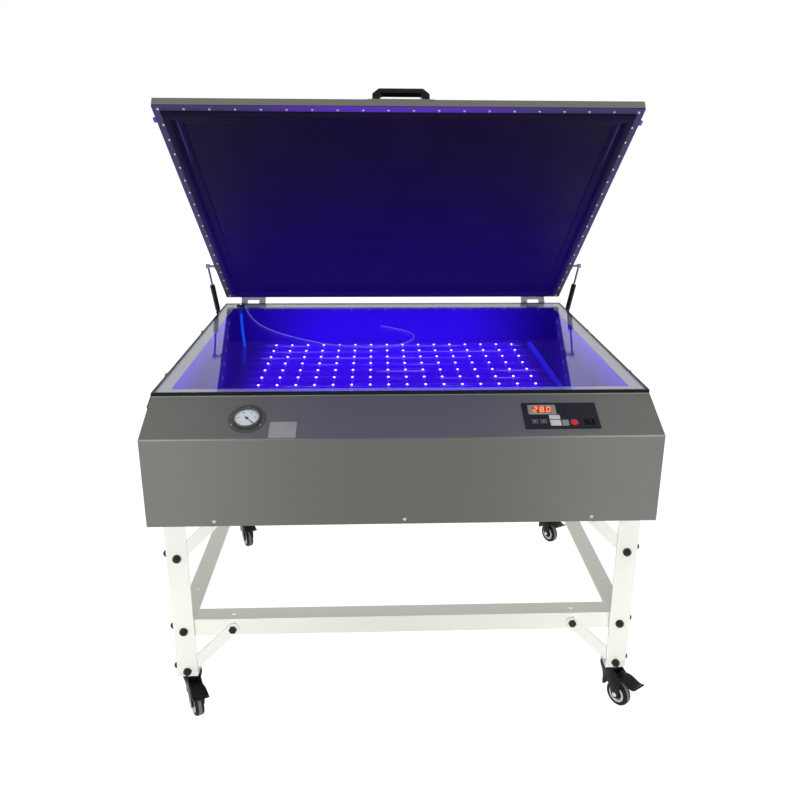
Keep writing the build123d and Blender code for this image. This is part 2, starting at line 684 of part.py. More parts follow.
def lid_blanket():
    """Rubber blanket with its sealing bead and an inner step."""
    sheet = block((-HALF_WIDTH, HALF_WIDTH), (LID_FRONT_Y, LID_REAR_Y),
                  (STRIP_TOP_Z, BLANKET_TOP_Z))
    bead_low = GLASS_TOP_HEIGHT + BEAD_GLASS_CLEARANCE
    edge = LID_RAIL_WIDTH + 1.0
    bead = ring_frame(HALF_WIDTH - edge, LID_FRONT_Y + edge, LID_REAR_Y - edge, BEAD_WIDTH,
                      bead_low, STRIP_TOP_Z, BEAD_CORNER, BEAD_CORNER - BEAD_WIDTH)
    inner = edge + BEAD_WIDTH
    step = ring_frame(HALF_WIDTH - inner, LID_FRONT_Y + inner, LID_REAR_Y - inner, STEP_WIDTH,
                      STRIP_TOP_Z - STEP_DEPTH, STRIP_TOP_Z, BEAD_CORNER - BEAD_WIDTH, 8.0)
    return sheet + bead + step


def handle():
    """Bail handle with chamfered shoulders, on its plate at the lid's front edge."""
    half = HANDLE_WIDTH / 2
    base = LID_TOP_Z + HANDLE_PLATE
    top = base + HANDLE_HEIGHT
    outline = [
        (-half, base), (-half, top - HANDLE_CHAMFER), (-half + HANDLE_CHAMFER, top),
        (half - HANDLE_CHAMFER, top), (half, top - HANDLE_CHAMFER), (half, base),
        (half - HANDLE_LEG, base), (half - HANDLE_LEG, top - HANDLE_BAR),
        (-half + HANDLE_LEG, top - HANDLE_BAR), (-half + HANDLE_LEG, base),
    ]
    y = LID_FRONT_Y + HANDLE_INSET
    grip = prism_y(outline, y - HANDLE_DEPTH / 2, y + HANDLE_DEPTH / 2)
    plate_half = half + HANDLE_PLATE_MARGIN
    plate = block((-plate_half, plate_half), (LID_FRONT_Y, LID_FRONT_Y + LID_RAIL_WIDTH),
                  (LID_TOP_Z, base))
    return grip, plate


def hinge_pairs():
    """Base leaves with their pins, and lid leaves, for the two hinges."""
    base_leaves = []
    lid_leaves = []
    knuckle_half = KNUCKLE_CENTRE / 2
    outer = knuckle_half + KNUCKLE_GAP + KNUCKLE_END
    for side in (-1, 1):
        x = side * HINGE_SPACING / 2
        plate = block((x - outer, x + outer), (REAR_Y, REAR_Y + HINGE_LEAF),
                      (DECK_Z - HINGE_BASE_HEIGHT, DECK_Z))
        web = [
            (REAR_Y, DECK_Z - 12), (REAR_Y + HINGE_LEAF, DECK_Z - 12),
            (PIN_Y + 2, PIN_Z - BARREL_RADIUS + 0.6), (PIN_Y - 5, PIN_Z - 2), (REAR_Y, DECK_Z),
        ]
        leaf = plate
        for low, high in ((-outer, -outer + KNUCKLE_END), (outer - KNUCKLE_END, outer)):
            leaf += prism_x(web, x + low, x + high)
            leaf += rod((x + low, PIN_Y, PIN_Z), (x + high, PIN_Y, PIN_Z), BARREL_RADIUS)
        leaf -= rod((x - outer - 1, PIN_Y, PIN_Z), (x + outer + 1, PIN_Y, PIN_Z), PIN_RADIUS)
        pin = rod((x - outer, PIN_Y, PIN_Z), (x + outer, PIN_Y, PIN_Z), PIN_RADIUS)
        base_leaves += [leaf, pin]
        lid_plate = block((x - knuckle_half, x + knuckle_half), (LID_REAR_Y, LID_REAR_Y + HINGE_LEAF),
                          (BLANKET_TOP_Z, BLANKET_TOP_Z + HINGE_LEAF_HEIGHT))
        arm = [
            (LID_REAR_Y, BLANKET_TOP_Z), (PIN_Y - 1, PIN_Z + BARREL_RADIUS - 1.5),
            (PIN_Y + 1, PIN_Z + BARREL_RADIUS - 0.2), (LID_REAR_Y + HINGE_LEAF, BLANKET_TOP_Z + 6),
            (LID_REAR_Y, BLANKET_TOP_Z + 6),
        ]
        lid_leaf = lid_plate + prism_x(arm, x - knuckle_half, x + knuckle_half)
        lid_leaf += rod((x - knuckle_half, PIN_Y, PIN_Z), (x + knuckle_half, PIN_Y, PIN_Z),
                        BARREL_RADIUS)
        lid_leaf -= rod((x - outer, PIN_Y, PIN_Z), (x + outer, PIN_Y, PIN_Z),
                        PIN_RADIUS + PIN_CLEARANCE)
        lid_leaves.append(lid_leaf)
    return base_leaves, lid_leaves


# ================================================================= gas struts
def strut_points():
    """Lower pivot on the cabinet and upper seat on the open lid, as (y, z)."""
    lower = (REAR_Y - STRUT_BASE_INSET, GLASS_TOP_HEIGHT - STRUT_BASE_DROP)
    turn = radians(-LID_OPEN_ANGLE)
    arm_y = -STRUT_LID_FROM_PIN
    arm_z = STRUT_LID_HEIGHT
    upper = (PIN_Y + arm_y * cos(turn) - arm_z * sin(turn),
             PIN_Z + arm_y * sin(turn) + arm_z * cos(turn))
    return lower, upper


def strut_parts(side):
    """Cylinder and rod of one strut, in the plane beside the cabinet."""
    lower, upper = strut_points()
    length = hypot(upper[0] - lower[0], upper[1] - lower[1])
    unit = ((upper[0] - lower[0]) / length, (upper[1] - lower[1]) / length)
    x = side * STRUT_X

    def at(distance):
        return (x, lower[0] + unit[0] * distance, lower[1] + unit[1] * distance)

    half_eye = STRUT_EYE_WIDTH / 2
    eye = rod((x - half_eye, *lower), (x + half_eye, *lower), STRUT_EYE_RADIUS)
    cylinder = eye + rod(at(0), at(STRUT_TUBE_START + 2), STRUT_EYE_RADIUS - 2.5)
    cylinder += rod(at(STRUT_TUBE_START), at(STRUT_TUBE_END), STRUT_TUBE_RADIUS)
    cylinder -= rod(at(STRUT_BORE_START), at(STRUT_TUBE_END - STRUT_GLAND), STRUT_BORE_RADIUS)
    cylinder -= rod(at(STRUT_BORE_START + 1), at(STRUT_TUBE_END + 1),
                    STRUT_ROD_RADIUS + RUNNING_CLEARANCE)
    stud_hole = STRUT_STUD_RADIUS + RUNNING_CLEARANCE
    cylinder -= rod((x - STRUT_EYE_WIDTH, *lower), (x + STRUT_EYE_WIDTH, *lower), stud_hole)
    piston = rod(at(STRUT_ROD_START), at(STRUT_ROD_START + STRUT_PISTON_LENGTH),
                 STRUT_BORE_RADIUS - RUNNING_CLEARANCE)
    shaft = rod(at(STRUT_ROD_START), at(length - 3), STRUT_ROD_RADIUS)
    socket = rod((x - half_eye, *upper), (x + half_eye, *upper), STRUT_EYE_RADIUS)
    return cylinder, piston + shaft + socket


def strut_lower_bracket():
    """Plate and stud on the cabinet's left side that carry the strut's lower eye."""
    lower, _ = strut_points()
    half = BRACKET_SIZE / 2
    outer = -HALF_WIDTH - BRACKET_THICKNESS
    stud_end = -STRUT_X - STRUT_EYE_WIDTH / 2 - SIDE_CLEARANCE
    plate = block((outer, -HALF_WIDTH), (REAR_Y - 2 * half, REAR_Y),
                  (lower[1] - half, lower[1] + half))
    boss = rod((-STRUT_X + STRUT_EYE_WIDTH / 2 + SIDE_CLEARANCE, *lower), (outer, *lower),
               STRUT_STUD_RADIUS + 2)
    stud = rod((stud_end, *lower), (outer, *lower), STRUT_STUD_RADIUS)
    head = rod((stud_end - 2, *lower), (stud_end, *lower), STRUT_STUD_HEAD)
    return plate + boss + stud + head


def strut_upper_bracket():
    """Rounded plate and short stud on the lid's left side, closed position."""
    y = PIN_Y - STRUT_LID_FROM_PIN
    z = PIN_Z + STRUT_LID_HEIGHT
    outer = -HALF_WIDTH - BRACKET_THICKNESS
    plate = rod((outer, y, z), (-HALF_WIDTH, y, z), BRACKET_SIZE / 2 - 1)
    seat = -STRUT_X + STRUT_EYE_WIDTH / 2 + SIDE_CLEARANCE
    stud = rod((seat, y, z), (outer, y, z), STRUT_STUD_RADIUS)
    return plate + stud


# ================================================================= side fittings
def latch_pivot():
    """Pivot of the hook latch on the cabinet's side, as (y, z)."""
    return DECK_FRONT_Y + LATCH_FROM_FRONT, GLASS_TOP_HEIGHT - LATCH_DROP


def keeper_height():
    """Bottom and top of the closed lid's keeper."""
    low = STRIP_BOTTOM_Z + KEEPER_RISE
    return low, low + KEEPER_HEIGHT


def latch_base():
    """Plate, boss and headed pin of the left latch."""
    y, z = latch_pivot()
    width, height, thickness = LATCH_BASE
    face = -HALF_WIDTH - thickness
    plate = block((face, -HALF_WIDTH), (y - width / 2, y + width / 2),
                  (z - height / 2, z + height / 2))
    arm_inner = face - LATCH_BOSS_HEIGHT - SIDE_CLEARANCE
    head_inner = arm_inner - LATCH_ARM_THICKNESS - SIDE_CLEARANCE
    boss = rod((face - LATCH_BOSS_HEIGHT, y, z), (face, y, z), LATCH_BOSS_RADIUS)
    pin = rod((head_inner, y, z), (face, y, z), LATCH_PIVOT_RADIUS)
    head = rod((head_inner - SHEET, y, z), (head_inner, y, z), LATCH_BOSS_RADIUS)
    return plate + boss + pin + head


def latch_hook():
    """Hook arm of the left latch, resting forwards and a little down from its pivot."""
    y, z = latch_pivot()
    arm_inner = -HALF_WIDTH - LATCH_BASE[2] - LATCH_BOSS_HEIGHT - SIDE_CLEARANCE
    x = (arm_inner - LATCH_ARM_THICKNESS, arm_inner)
    half = LATCH_ARM_WIDTH / 2
    lip_reach = hypot(keeper_height()[1] - z, KEEPER_LENGTH / 2)
    nose_start = lip_reach + LATCH_LIP_CLEARANCE
    tip = nose_start + LATCH_NOSE_THICKNESS
    arm = block(x, (y - half, y + half), (z, z + tip))
    arm += rod((x[0], y, z), (x[1], y, z), half)
    arm += block((x[0], -HALF_WIDTH - LATCH_NOSE_GAP), (y - half, y + half),
                 (z + nose_start, z + tip))
    arm -= rod((x[0] - 1, y, z), (x[1] + 1, y, z), LATCH_PIVOT_RADIUS + RUNNING_CLEARANCE)
    return arm.rotate(Axis((0, y, z), (1, 0, 0)), 90 + LATCH_REST_DIP)


def lid_keeper():
    """Block on the lid's left side near its front that the hook catches, closed position."""
    y = DECK_FRONT_Y + LATCH_FROM_FRONT
    half = KEEPER_LENGTH / 2
    return block((-HALF_WIDTH - KEEPER_DEPTH, -HALF_WIDTH), (y - half, y + half), keeper_height())


def thumbscrew_centres():
    return [(DECK_FRONT_Y + distance, DECK_Z - THUMBSCREW_DROP / 2)
            for distance in THUMBSCREW_FROM_FRONT]


def thumbscrew_holes():
    inner = -INNER_HALF + SHEET + 1
    return Part() + [rod((-HALF_WIDTH - 1, y, z), (inner, y, z),
                         THUMBSCREW_SHANK + HOLE_CLEARANCE) for y, z in thumbscrew_centres()]


def thumbscrews():
    screws = []
    face = -HALF_WIDTH
    for y, z in thumbscrew_centres():
        head = rod((face - THUMBSCREW_HEAD_LENGTH, y, z), (face, y, z), THUMBSCREW_HEAD_RADIUS)
        tip_end = face - THUMBSCREW_HEAD_LENGTH - THUMBSCREW_TIP_LENGTH
        tip = rod((tip_end, y, z), (face - THUMBSCREW_HEAD_LENGTH, y, z), THUMBSCREW_TIP_RADIUS)
        shank = rod((face, y, z), (-INNER_HALF + SHEET, y, z), THUMBSCREW_SHANK)
        screws.append(head + tip + shank)
    return mirrored_x(screws)


# ================================================================= gauge
def gauge_screw_places():
    return [(GAUGE_SCREW_CIRCLE * cos(radians(angle)), GAUGE_SCREW_CIRCLE * sin(radians(angle)))
            for angle in (90, 210, 330)]


def gauge_screw_holes():
    hole = Cylinder(LID_SCREW_SHANK + HOLE_CLEARANCE, 6 * SHEET)
    return [on_slope(GAUGE_X + dx, GAUGE_DOWN - dy, 0, hole) for dx, dy in gauge_screw_places()]


def gauge_case():
    """Flanged case with bezel, dial floor and rear spigot, about the gauge's own axis."""
    up = (Align.CENTER, Align.CENTER, Align.MIN)
    down = (Align.CENTER, Align.CENTER, Align.MAX)
    case = Cylinder(GAUGE_FLANGE_RADIUS, GAUGE_FLANGE_THICKNESS, align=up)
    case += Cylinder(GAUGE_BEZEL_RADIUS, GAUGE_BEZEL_HEIGHT, align=up)
    case += Cylinder(GAUGE_CASE_RADIUS, GAUGE_CASE_DEPTH, align=down)
    spigot = Cylinder(GAUGE_SPIGOT_RADIUS, GAUGE_SPIGOT_LENGTH, align=down)
    case += Pos(0, 0, -GAUGE_CASE_DEPTH) * spigot
    recess = Cylinder(GAUGE_DIAL_RADIUS, GAUGE_DIAL_DEPTH + 1, align=up)
    case -= Pos(0, 0, GAUGE_BEZEL_HEIGHT - GAUGE_DIAL_DEPTH) * recess
    pivot = Cylinder(GAUGE_PIVOT_RADIUS, NEEDLE_LIFT + NEEDLE_THICKNESS + 0.6, align=up)
    case += Pos(0, 0, GAUGE_BEZEL_HEIGHT - GAUGE_DIAL_DEPTH) * pivot
    hole = Cylinder(LID_SCREW_SHANK + HOLE_CLEARANCE, 6 * SHEET)
    for dx, dy in gauge_screw_places():
        case -= Pos(dx, dy, 0) * hole
    return on_slope(GAUGE_X, GAUGE_DOWN, 0, case)


def gauge_needle():
    low = GAUGE_BEZEL_HEIGHT - GAUGE_DIAL_DEPTH + NEEDLE_LIFT
    up = (Align.CENTER, Align.CENTER, Align.MIN)
    length = NEEDLE_LENGTH + NEEDLE_TAIL
    bar = Pos((NEEDLE_LENGTH - NEEDLE_TAIL) / 2, 0, 0) * Box(length, NEEDLE_WIDTH,
                                                             NEEDLE_THICKNESS, align=up)
    needle = bar + Cylinder(GAUGE_HUB_RADIUS, NEEDLE_THICKNESS, align=up)
    needle -= Cylinder(GAUGE_PIVOT_RADIUS + RUNNING_CLEARANCE, 4)
    return on_slope(GAUGE_X, GAUGE_DOWN, low, Rot(0, 0, NEEDLE_REST_ANGLE) * needle)


def gauge_lens():
    up = (Align.CENTER, Align.CENTER, Align.MIN)
    lens = Cylinder(GAUGE_DIAL_RADIUS, GAUGE_LENS_THICKNESS, align=up)
    return on_slope(GAUGE_X, GAUGE_DOWN, GAUGE_BEZEL_HEIGHT - GAUGE_LENS_THICKNESS, lens)


# ================================================================= control panel
def control_panel():
    """Face plate with key holes, display pocket and rocker pocket, and its box behind."""
    up = (Align.CENTER, Align.CENTER, Align.MIN)
    down = (Align.CENTER, Align.CENTER, Align.MAX)
    panel = Box(PANEL_WIDTH, PANEL_HEIGHT, PANEL_THICKNESS, align=up)
    width, height, depth = PANEL_BOX
    shell = Box(width, height, depth, align=down)
    shell -= Box(width - 2 * PANEL_BOX_WALL, height - 2 * PANEL_BOX_WALL,
                 depth - PANEL_BOX_WALL, align=down)
    panel += shell
    for x, down_by, key_width, key_height in KEYS.values():
        hole = Box(key_width + 2 * KEY_GAP, key_height + 2 * KEY_GAP, 4 * PANEL_THICKNESS)
        panel -= Pos(x - PANEL_X, PANEL_DOWN - down_by, 0) * hole
    start_hole = Cylinder(START_KEY_RADIUS + KEY_GAP, 4 * PANEL_THICKNESS)
    panel -= Pos(START_KEY_CENTRE[0] - PANEL_X, PANEL_DOWN - START_KEY_CENTRE[1], 0) * start_hole
    rocker_place = Pos(ROCKER_CENTRE[0] - PANEL_X, PANEL_DOWN - ROCKER_CENTRE[1], 0)
    panel -= rocker_place * Box(*ROCKER_POCKET, 4 * PANEL_THICKNESS)
    switch_depth = ROCKER_PIVOT_DEPTH + ROCKER_BODY_RADIUS + 2
    switch = Box(ROCKER_POCKET[0] + 3, ROCKER_POCKET[1] + 3, switch_depth, align=down)
    switch -= Box(*ROCKER_POCKET, switch_depth - 1, align=down)
    axle = Pos(0, 0, PANEL_THICKNESS - ROCKER_PIVOT_DEPTH) * Rot(90, 0, 0) * Cylinder(
        ROCKER_PIN_RADIUS, ROCKER_POCKET[1])
    panel += rocker_place * (switch + axle)
    window = Box(WINDOW_SIZE[0], WINDOW_SIZE[1], WINDOW_POCKET + 1, align=up)
    panel -= Pos(WINDOW_CENTRE[0] - PANEL_X, PANEL_DOWN - WINDOW_CENTRE[1],
                 PANEL_THICKNESS - WINDOW_POCKET) * window
    return on_slope(PANEL_X, PANEL_DOWN, 0, panel)


def display_window():
    up = (Align.CENTER, Align.CENTER, Align.MIN)
    window = Box(WINDOW_SIZE[0], WINDOW_SIZE[1], WINDOW_THICKNESS, align=up)
    return on_slope(*WINDOW_CENTRE, PANEL_THICKNESS - WINDOW_POCKET, window)


def key_solid(x, down_by, cap, flange):
    """A key: its cap through the plate, and the retaining flange behind the plate."""
    solid = Pos(0, 0, -KEY_FLANGE) * cap + Pos(0, 0, -KEY_FLANGE) * flange
    return on_slope(x, down_by, 0, solid)


def panel_keys():
    up = (Align.CENTER, Align.CENTER, Align.MIN)
    height = KEY_FLANGE + PANEL_THICKNESS + KEY_RISE
    keys = {}
    for name, (x, down_by, width, depth) in KEYS.items():
        cap = Box(width, depth, height, align=up)
        flange = Box(width + 1.6, depth + 1.6, KEY_FLANGE, align=up)
        keys[name] = key_solid(x, down_by, cap, flange)
    cap = Cylinder(START_KEY_RADIUS, height, align=up)
    flange = Cylinder(START_KEY_RADIUS + 0.8, KEY_FLANGE, align=up)
    keys["key_start"] = key_solid(*START_KEY_CENTRE, cap, flange)
    return keys


def power_rocker():
    """Rocker cap on its cross pin, resting with its right end high."""
    width = ROCKER_POCKET[1] - 2 * ROCKER_SIDE_GAP
    profile = make_face(Polyline(
        (-ROCKER_BODY_RADIUS, 0), (-ROCKER_HALF, ROCKER_SHOULDER), (0, ROCKER_VALLEY),
        (ROCKER_HALF, ROCKER_SHOULDER), (ROCKER_BODY_RADIUS, 0), close=True))
    profile += Circle(ROCKER_BODY_RADIUS)
    profile -= Circle(ROCKER_PIN_RADIUS + RUNNING_CLEARANCE)
    body = extrude(Plane.XZ.offset(-width / 2) * profile, amount=width)
    tilted = Rot(0, -ROCKER_TILT, 0) * body
    return on_slope(*ROCKER_CENTRE, PANEL_THICKNESS - ROCKER_PIVOT_DEPTH, tilted)


def label_plate():
    up = (Align.CENTER, Align.CENTER, Align.MIN)
    plate = Box(LABEL_SIZE[0], LABEL_SIZE[1], LABEL_THICKNESS, align=up)
    return on_slope(*LABEL_CENTRE, 0, plate)


def front_screw_places():
    return [(x, CABINET_BOTTOM_Z + FRONT_SCREW_RISE)
            for x in (-FRONT_SCREW_SPACING, 0, FRONT_SCREW_SPACING)]


def front_screw_holes():
    return [rod((x, FRONT_Y - 1, z), (x, FRONT_Y + SHEET + ANGLE_THICKNESS + 1, z),
                FRONT_SCREW_SHANK + HOLE_CLEARANCE) for x, z in front_screw_places()]


def cabinet_screws():
    """Front skirt screws, gauge flange screws and the side thumbscrews."""
    screws = []
    for x, z in front_screw_places():
        head = rod((x, FRONT_Y - SCREW_HEAD_HEIGHT, z), (x, FRONT_Y, z), FRONT_SCREW_HEAD)
        shank = rod((x, FRONT_Y, z), (x, FRONT_Y + SHEET + ANGLE_THICKNESS, z), FRONT_SCREW_SHANK)
        screws.append(head + shank)
    up = (Align.CENTER, Align.CENTER, Align.MIN)
    down = (Align.CENTER, Align.CENTER, Align.MAX)
    length = GAUGE_FLANGE_THICKNESS + SHEET
    screw = Cylinder(LID_SCREW_HEAD, SCREW_HEAD_HEIGHT, align=up)
    screw += Cylinder(LID_SCREW_SHANK, length, align=down)
    for dx, dy in gauge_screw_places():
        screws.append(on_slope(GAUGE_X + dx, GAUGE_DOWN - dy, GAUGE_FLANGE_THICKNESS, screw))
    return screws + thumbscrews()


def power_inlet():
    """Three-pole mains inlet in the rear panel, with its open socket."""
    half_x = INLET_SIZE[0] / 2
    half_z = INLET_SIZE[1] / 2
    core_x = INLET_CAVITY[0] / 2 + SHEET
    core_z = INLET_CAVITY[1] / 2 + SHEET
    inlet = block((INLET_X - half_x, INLET_X + half_x), (REAR_Y, REAR_Y + INLET_FLANGE),
                  (INLET_Z - half_z, INLET_Z + half_z))
    inlet += block((INLET_X - core_x, INLET_X + core_x), (REAR_Y - INLET_DEPTH, REAR_Y),
                   (INLET_Z - core_z, INLET_Z + core_z))
    inlet -= block((INLET_X - INLET_CAVITY[0] / 2, INLET_X + INLET_CAVITY[0] / 2),
                   (REAR_Y + INLET_FLANGE - INLET_CAVITY[2], REAR_Y + INLET_FLANGE + 1),
                   (INLET_Z - INLET_CAVITY[1] / 2, INLET_Z + INLET_CAVITY[1] / 2))
    return inlet


# ================================================================= stand
def brace_outline(start, end):
    """Bar with pointed ends between two bolts, kept above the foot plate."""
    run = end[0] - start[0]
    rise = end[1] - start[1]
    length = hypot(run, rise)
    ux, uz = run / length, rise / length
    half = BRACE_WIDTH / 2

    def place(along, across):
        return (start[0] + ux * along - uz * across, start[1] + uz * along + ux * across)

    taper = half * 0.6
    return [
        place(-BRACE_END, -half + taper), place(-BRACE_END, half - taper), place(-taper, half),
        place(length + taper, half), place(length + BRACE_END, half - taper),
        place(length + BRACE_END, -half + taper), place(length + taper, -half),
        place(-taper, -half),
    ]


def stand_corner():
    """Leg, braces, bolts and nuts of the front left corner."""
    t = ANGLE_THICKNESS
    left, front = -LEG_X, STAND_FRONT_Y
    leg = block((left, left + LEG_SIZE), (front, front + t), (LEG_BOTTOM_Z, PAN_BOTTOM_Z))
    leg += block((left, left + t), (front, front + LEG_SIZE), (LEG_BOTTOM_Z, PAN_BOTTOM_Z))
    leg += block((left, left + LEG_SIZE), (front, front + LEG_SIZE),
                 (LEG_BOTTOM_Z, LEG_BOTTOM_Z + FOOT_PLATE))
    mid = LEG_SIZE / 2
    heights = (BOLT_LOW_Z, BOLT_RAIL_Z, BOLT_HIGH_Z)
    stem = (left + t + (LEG_SIZE - t) / 2, front + t + (LEG_SIZE - t) / 2)
    leg -= rod((*stem, LEG_BOTTOM_Z - 1), (*stem, LEG_BOTTOM_Z + FOOT_PLATE + 1),
               STEM_RADIUS + HOLE_CLEARANCE)
    hole = BOLT_RADIUS + HOLE_CLEARANCE
    for z in heights:
        leg -= rod((left + mid, front - 1, z), (left + mid, front + 2 * t, z), hole)
        leg -= rod((left - 1, front + mid, z), (left + 2 * t, front + mid, z), hole)

    plate_top = LEG_BOTTOM_Z + FOOT_PLATE
    reach = (front, front + BRACE_CUT_REACH)
    floor_cut = block((left, left + BRACE_CUT_REACH), reach, (0, plate_top))
    low_pair = ((mid, BOLT_LOW_Z), (mid + BRACE_LOW_RUN, BOLT_RAIL_Z))
    high_pair = ((mid, BOLT_HIGH_Z), (mid + BRACE_HIGH_RUN, BOLT_TOP_Z))
    braces = []
    bolts = []
    for start, end in (low_pair, high_pair):
        points = brace_outline(start, end)
        front_bar = prism_y([(left + a, z) for a, z in points], front + t, front + 2 * t)
        side_bar = prism_x([(front + a, z) for a, z in points], left + t, left + 2 * t)
        corner_cut = block((left, left + 2 * t), reach, (0, 2 * PAN_BOTTOM_Z))
        for across, z in (start, end):
            front_bar -= rod((left + across, front, z), (left + across, front + 3 * t, z), hole)
            side_bar -= rod((left, front + across, z), (left + 3 * t, front + across, z), hole)
        braces += [front_bar - floor_cut - corner_cut, side_bar - floor_cut]

    def bolt(from_point, direction, grip, head_height=BOLT_HEAD_HEIGHT):
        dx, dy = direction
        x, y, z = from_point

        def along(distance):
            return (x + dx * distance, y + dy * distance, z)

        body = hexagon(along(-head_height), along(0), BOLT_HEAD_RADIUS)
        body += rod(along(0), along(grip + NUT_HEIGHT + BOLT_END), BOLT_RADIUS)
        nut = hexagon(along(grip), along(grip + NUT_HEIGHT), BOLT_HEAD_RADIUS)
        return [body, nut - rod(along(grip - 1), along(grip + NUT_HEIGHT + 1), BOLT_RADIUS)]

    for z, grip in ((BOLT_LOW_Z, 2 * t), (BOLT_RAIL_Z, 3 * t), (BOLT_HIGH_Z, 2 * t)):
        bolts += bolt((left + mid, front, z), (0, 1), grip)
        bolts += bolt((left, front + mid, z), (1, 0), grip)
    bolts += bolt((left + mid + BRACE_LOW_RUN, front + t, BOLT_RAIL_Z), (0, 1), 2 * t)
    bolts += bolt((left + t, front + mid + BRACE_LOW_RUN, BOLT_RAIL_Z), (1, 0), 2 * t)
    for x, y, dx, dy in (
        (left + mid + BRACE_HIGH_RUN, front + 2 * t, 0, 1),
        (left + 2 * t, front + mid + BRACE_HIGH_RUN, 1, 0),
    ):
        z = BOLT_TOP_Z
        head = hexagon((x, y, z), (x + dx * BOLT_HEAD_HEIGHT, y + dy * BOLT_HEAD_HEIGHT, z),
                       BOLT_HEAD_RADIUS)
        shank = rod((x - dx * 2 * t, y - dy * 2 * t, z), (x, y, z), BOLT_RADIUS)
        bolts.append(head + shank)
    spacer = BOLT_RADIUS + 4
    for z in (BOLT_RAIL_Z,):
        ring = rod((left + mid, front + t, z), (left + mid, front + 2 * t, z), spacer)
        bolts.append(ring - rod((left + mid, front, z), (left + mid, front + 3 * t, z), hole))
        ring = rod((left + t, front + mid, z), (left + 2 * t, front + mid, z), spacer)
        bolts.append(ring - rod((left, front + mid, z), (left + 3 * t, front + mid, z), hole))
    bolts += caster_stem(stem)
    return leg, braces, bolts


def caster_stem(centre):
    """Caster stem through the foot plate, with its lower head, and the nut above."""
    x, y = centre
    plate_low = LEG_BOTTOM_Z - CASTER_TOP_GAP - FORK_TOP_THICKNESS
    head_top = plate_low - SIDE_CLEARANCE
    plate_top = LEG_BOTTOM_Z + FOOT_PLATE
    stem = rod((x, y, head_top), (x, y, plate_top + STEM_ABOVE_PLATE), STEM_RADIUS)
    stem += rod((x, y, head_top - STEM_HEAD_HEIGHT), (x, y, head_top), STEM_HEAD_RADIUS)
    nut = hexagon((x, y, plate_top), (x, y, plate_top + STEM_NUT_HEIGHT), STEM_NUT_RADIUS)
    return [stem, nut - rod((x, y, plate_top - 1), (x, y, plate_top + 20), STEM_RADIUS)]


def four_corners(solids):
    """Copies of the front left corner's solids at all four corners."""
    both = mirrored_x(solids)
    middle = Plane(origin=(0, STAND_MID_Y, 0), z_dir=(0, 1, 0))
    return both + [mirror(solid, about=middle) for solid in both]


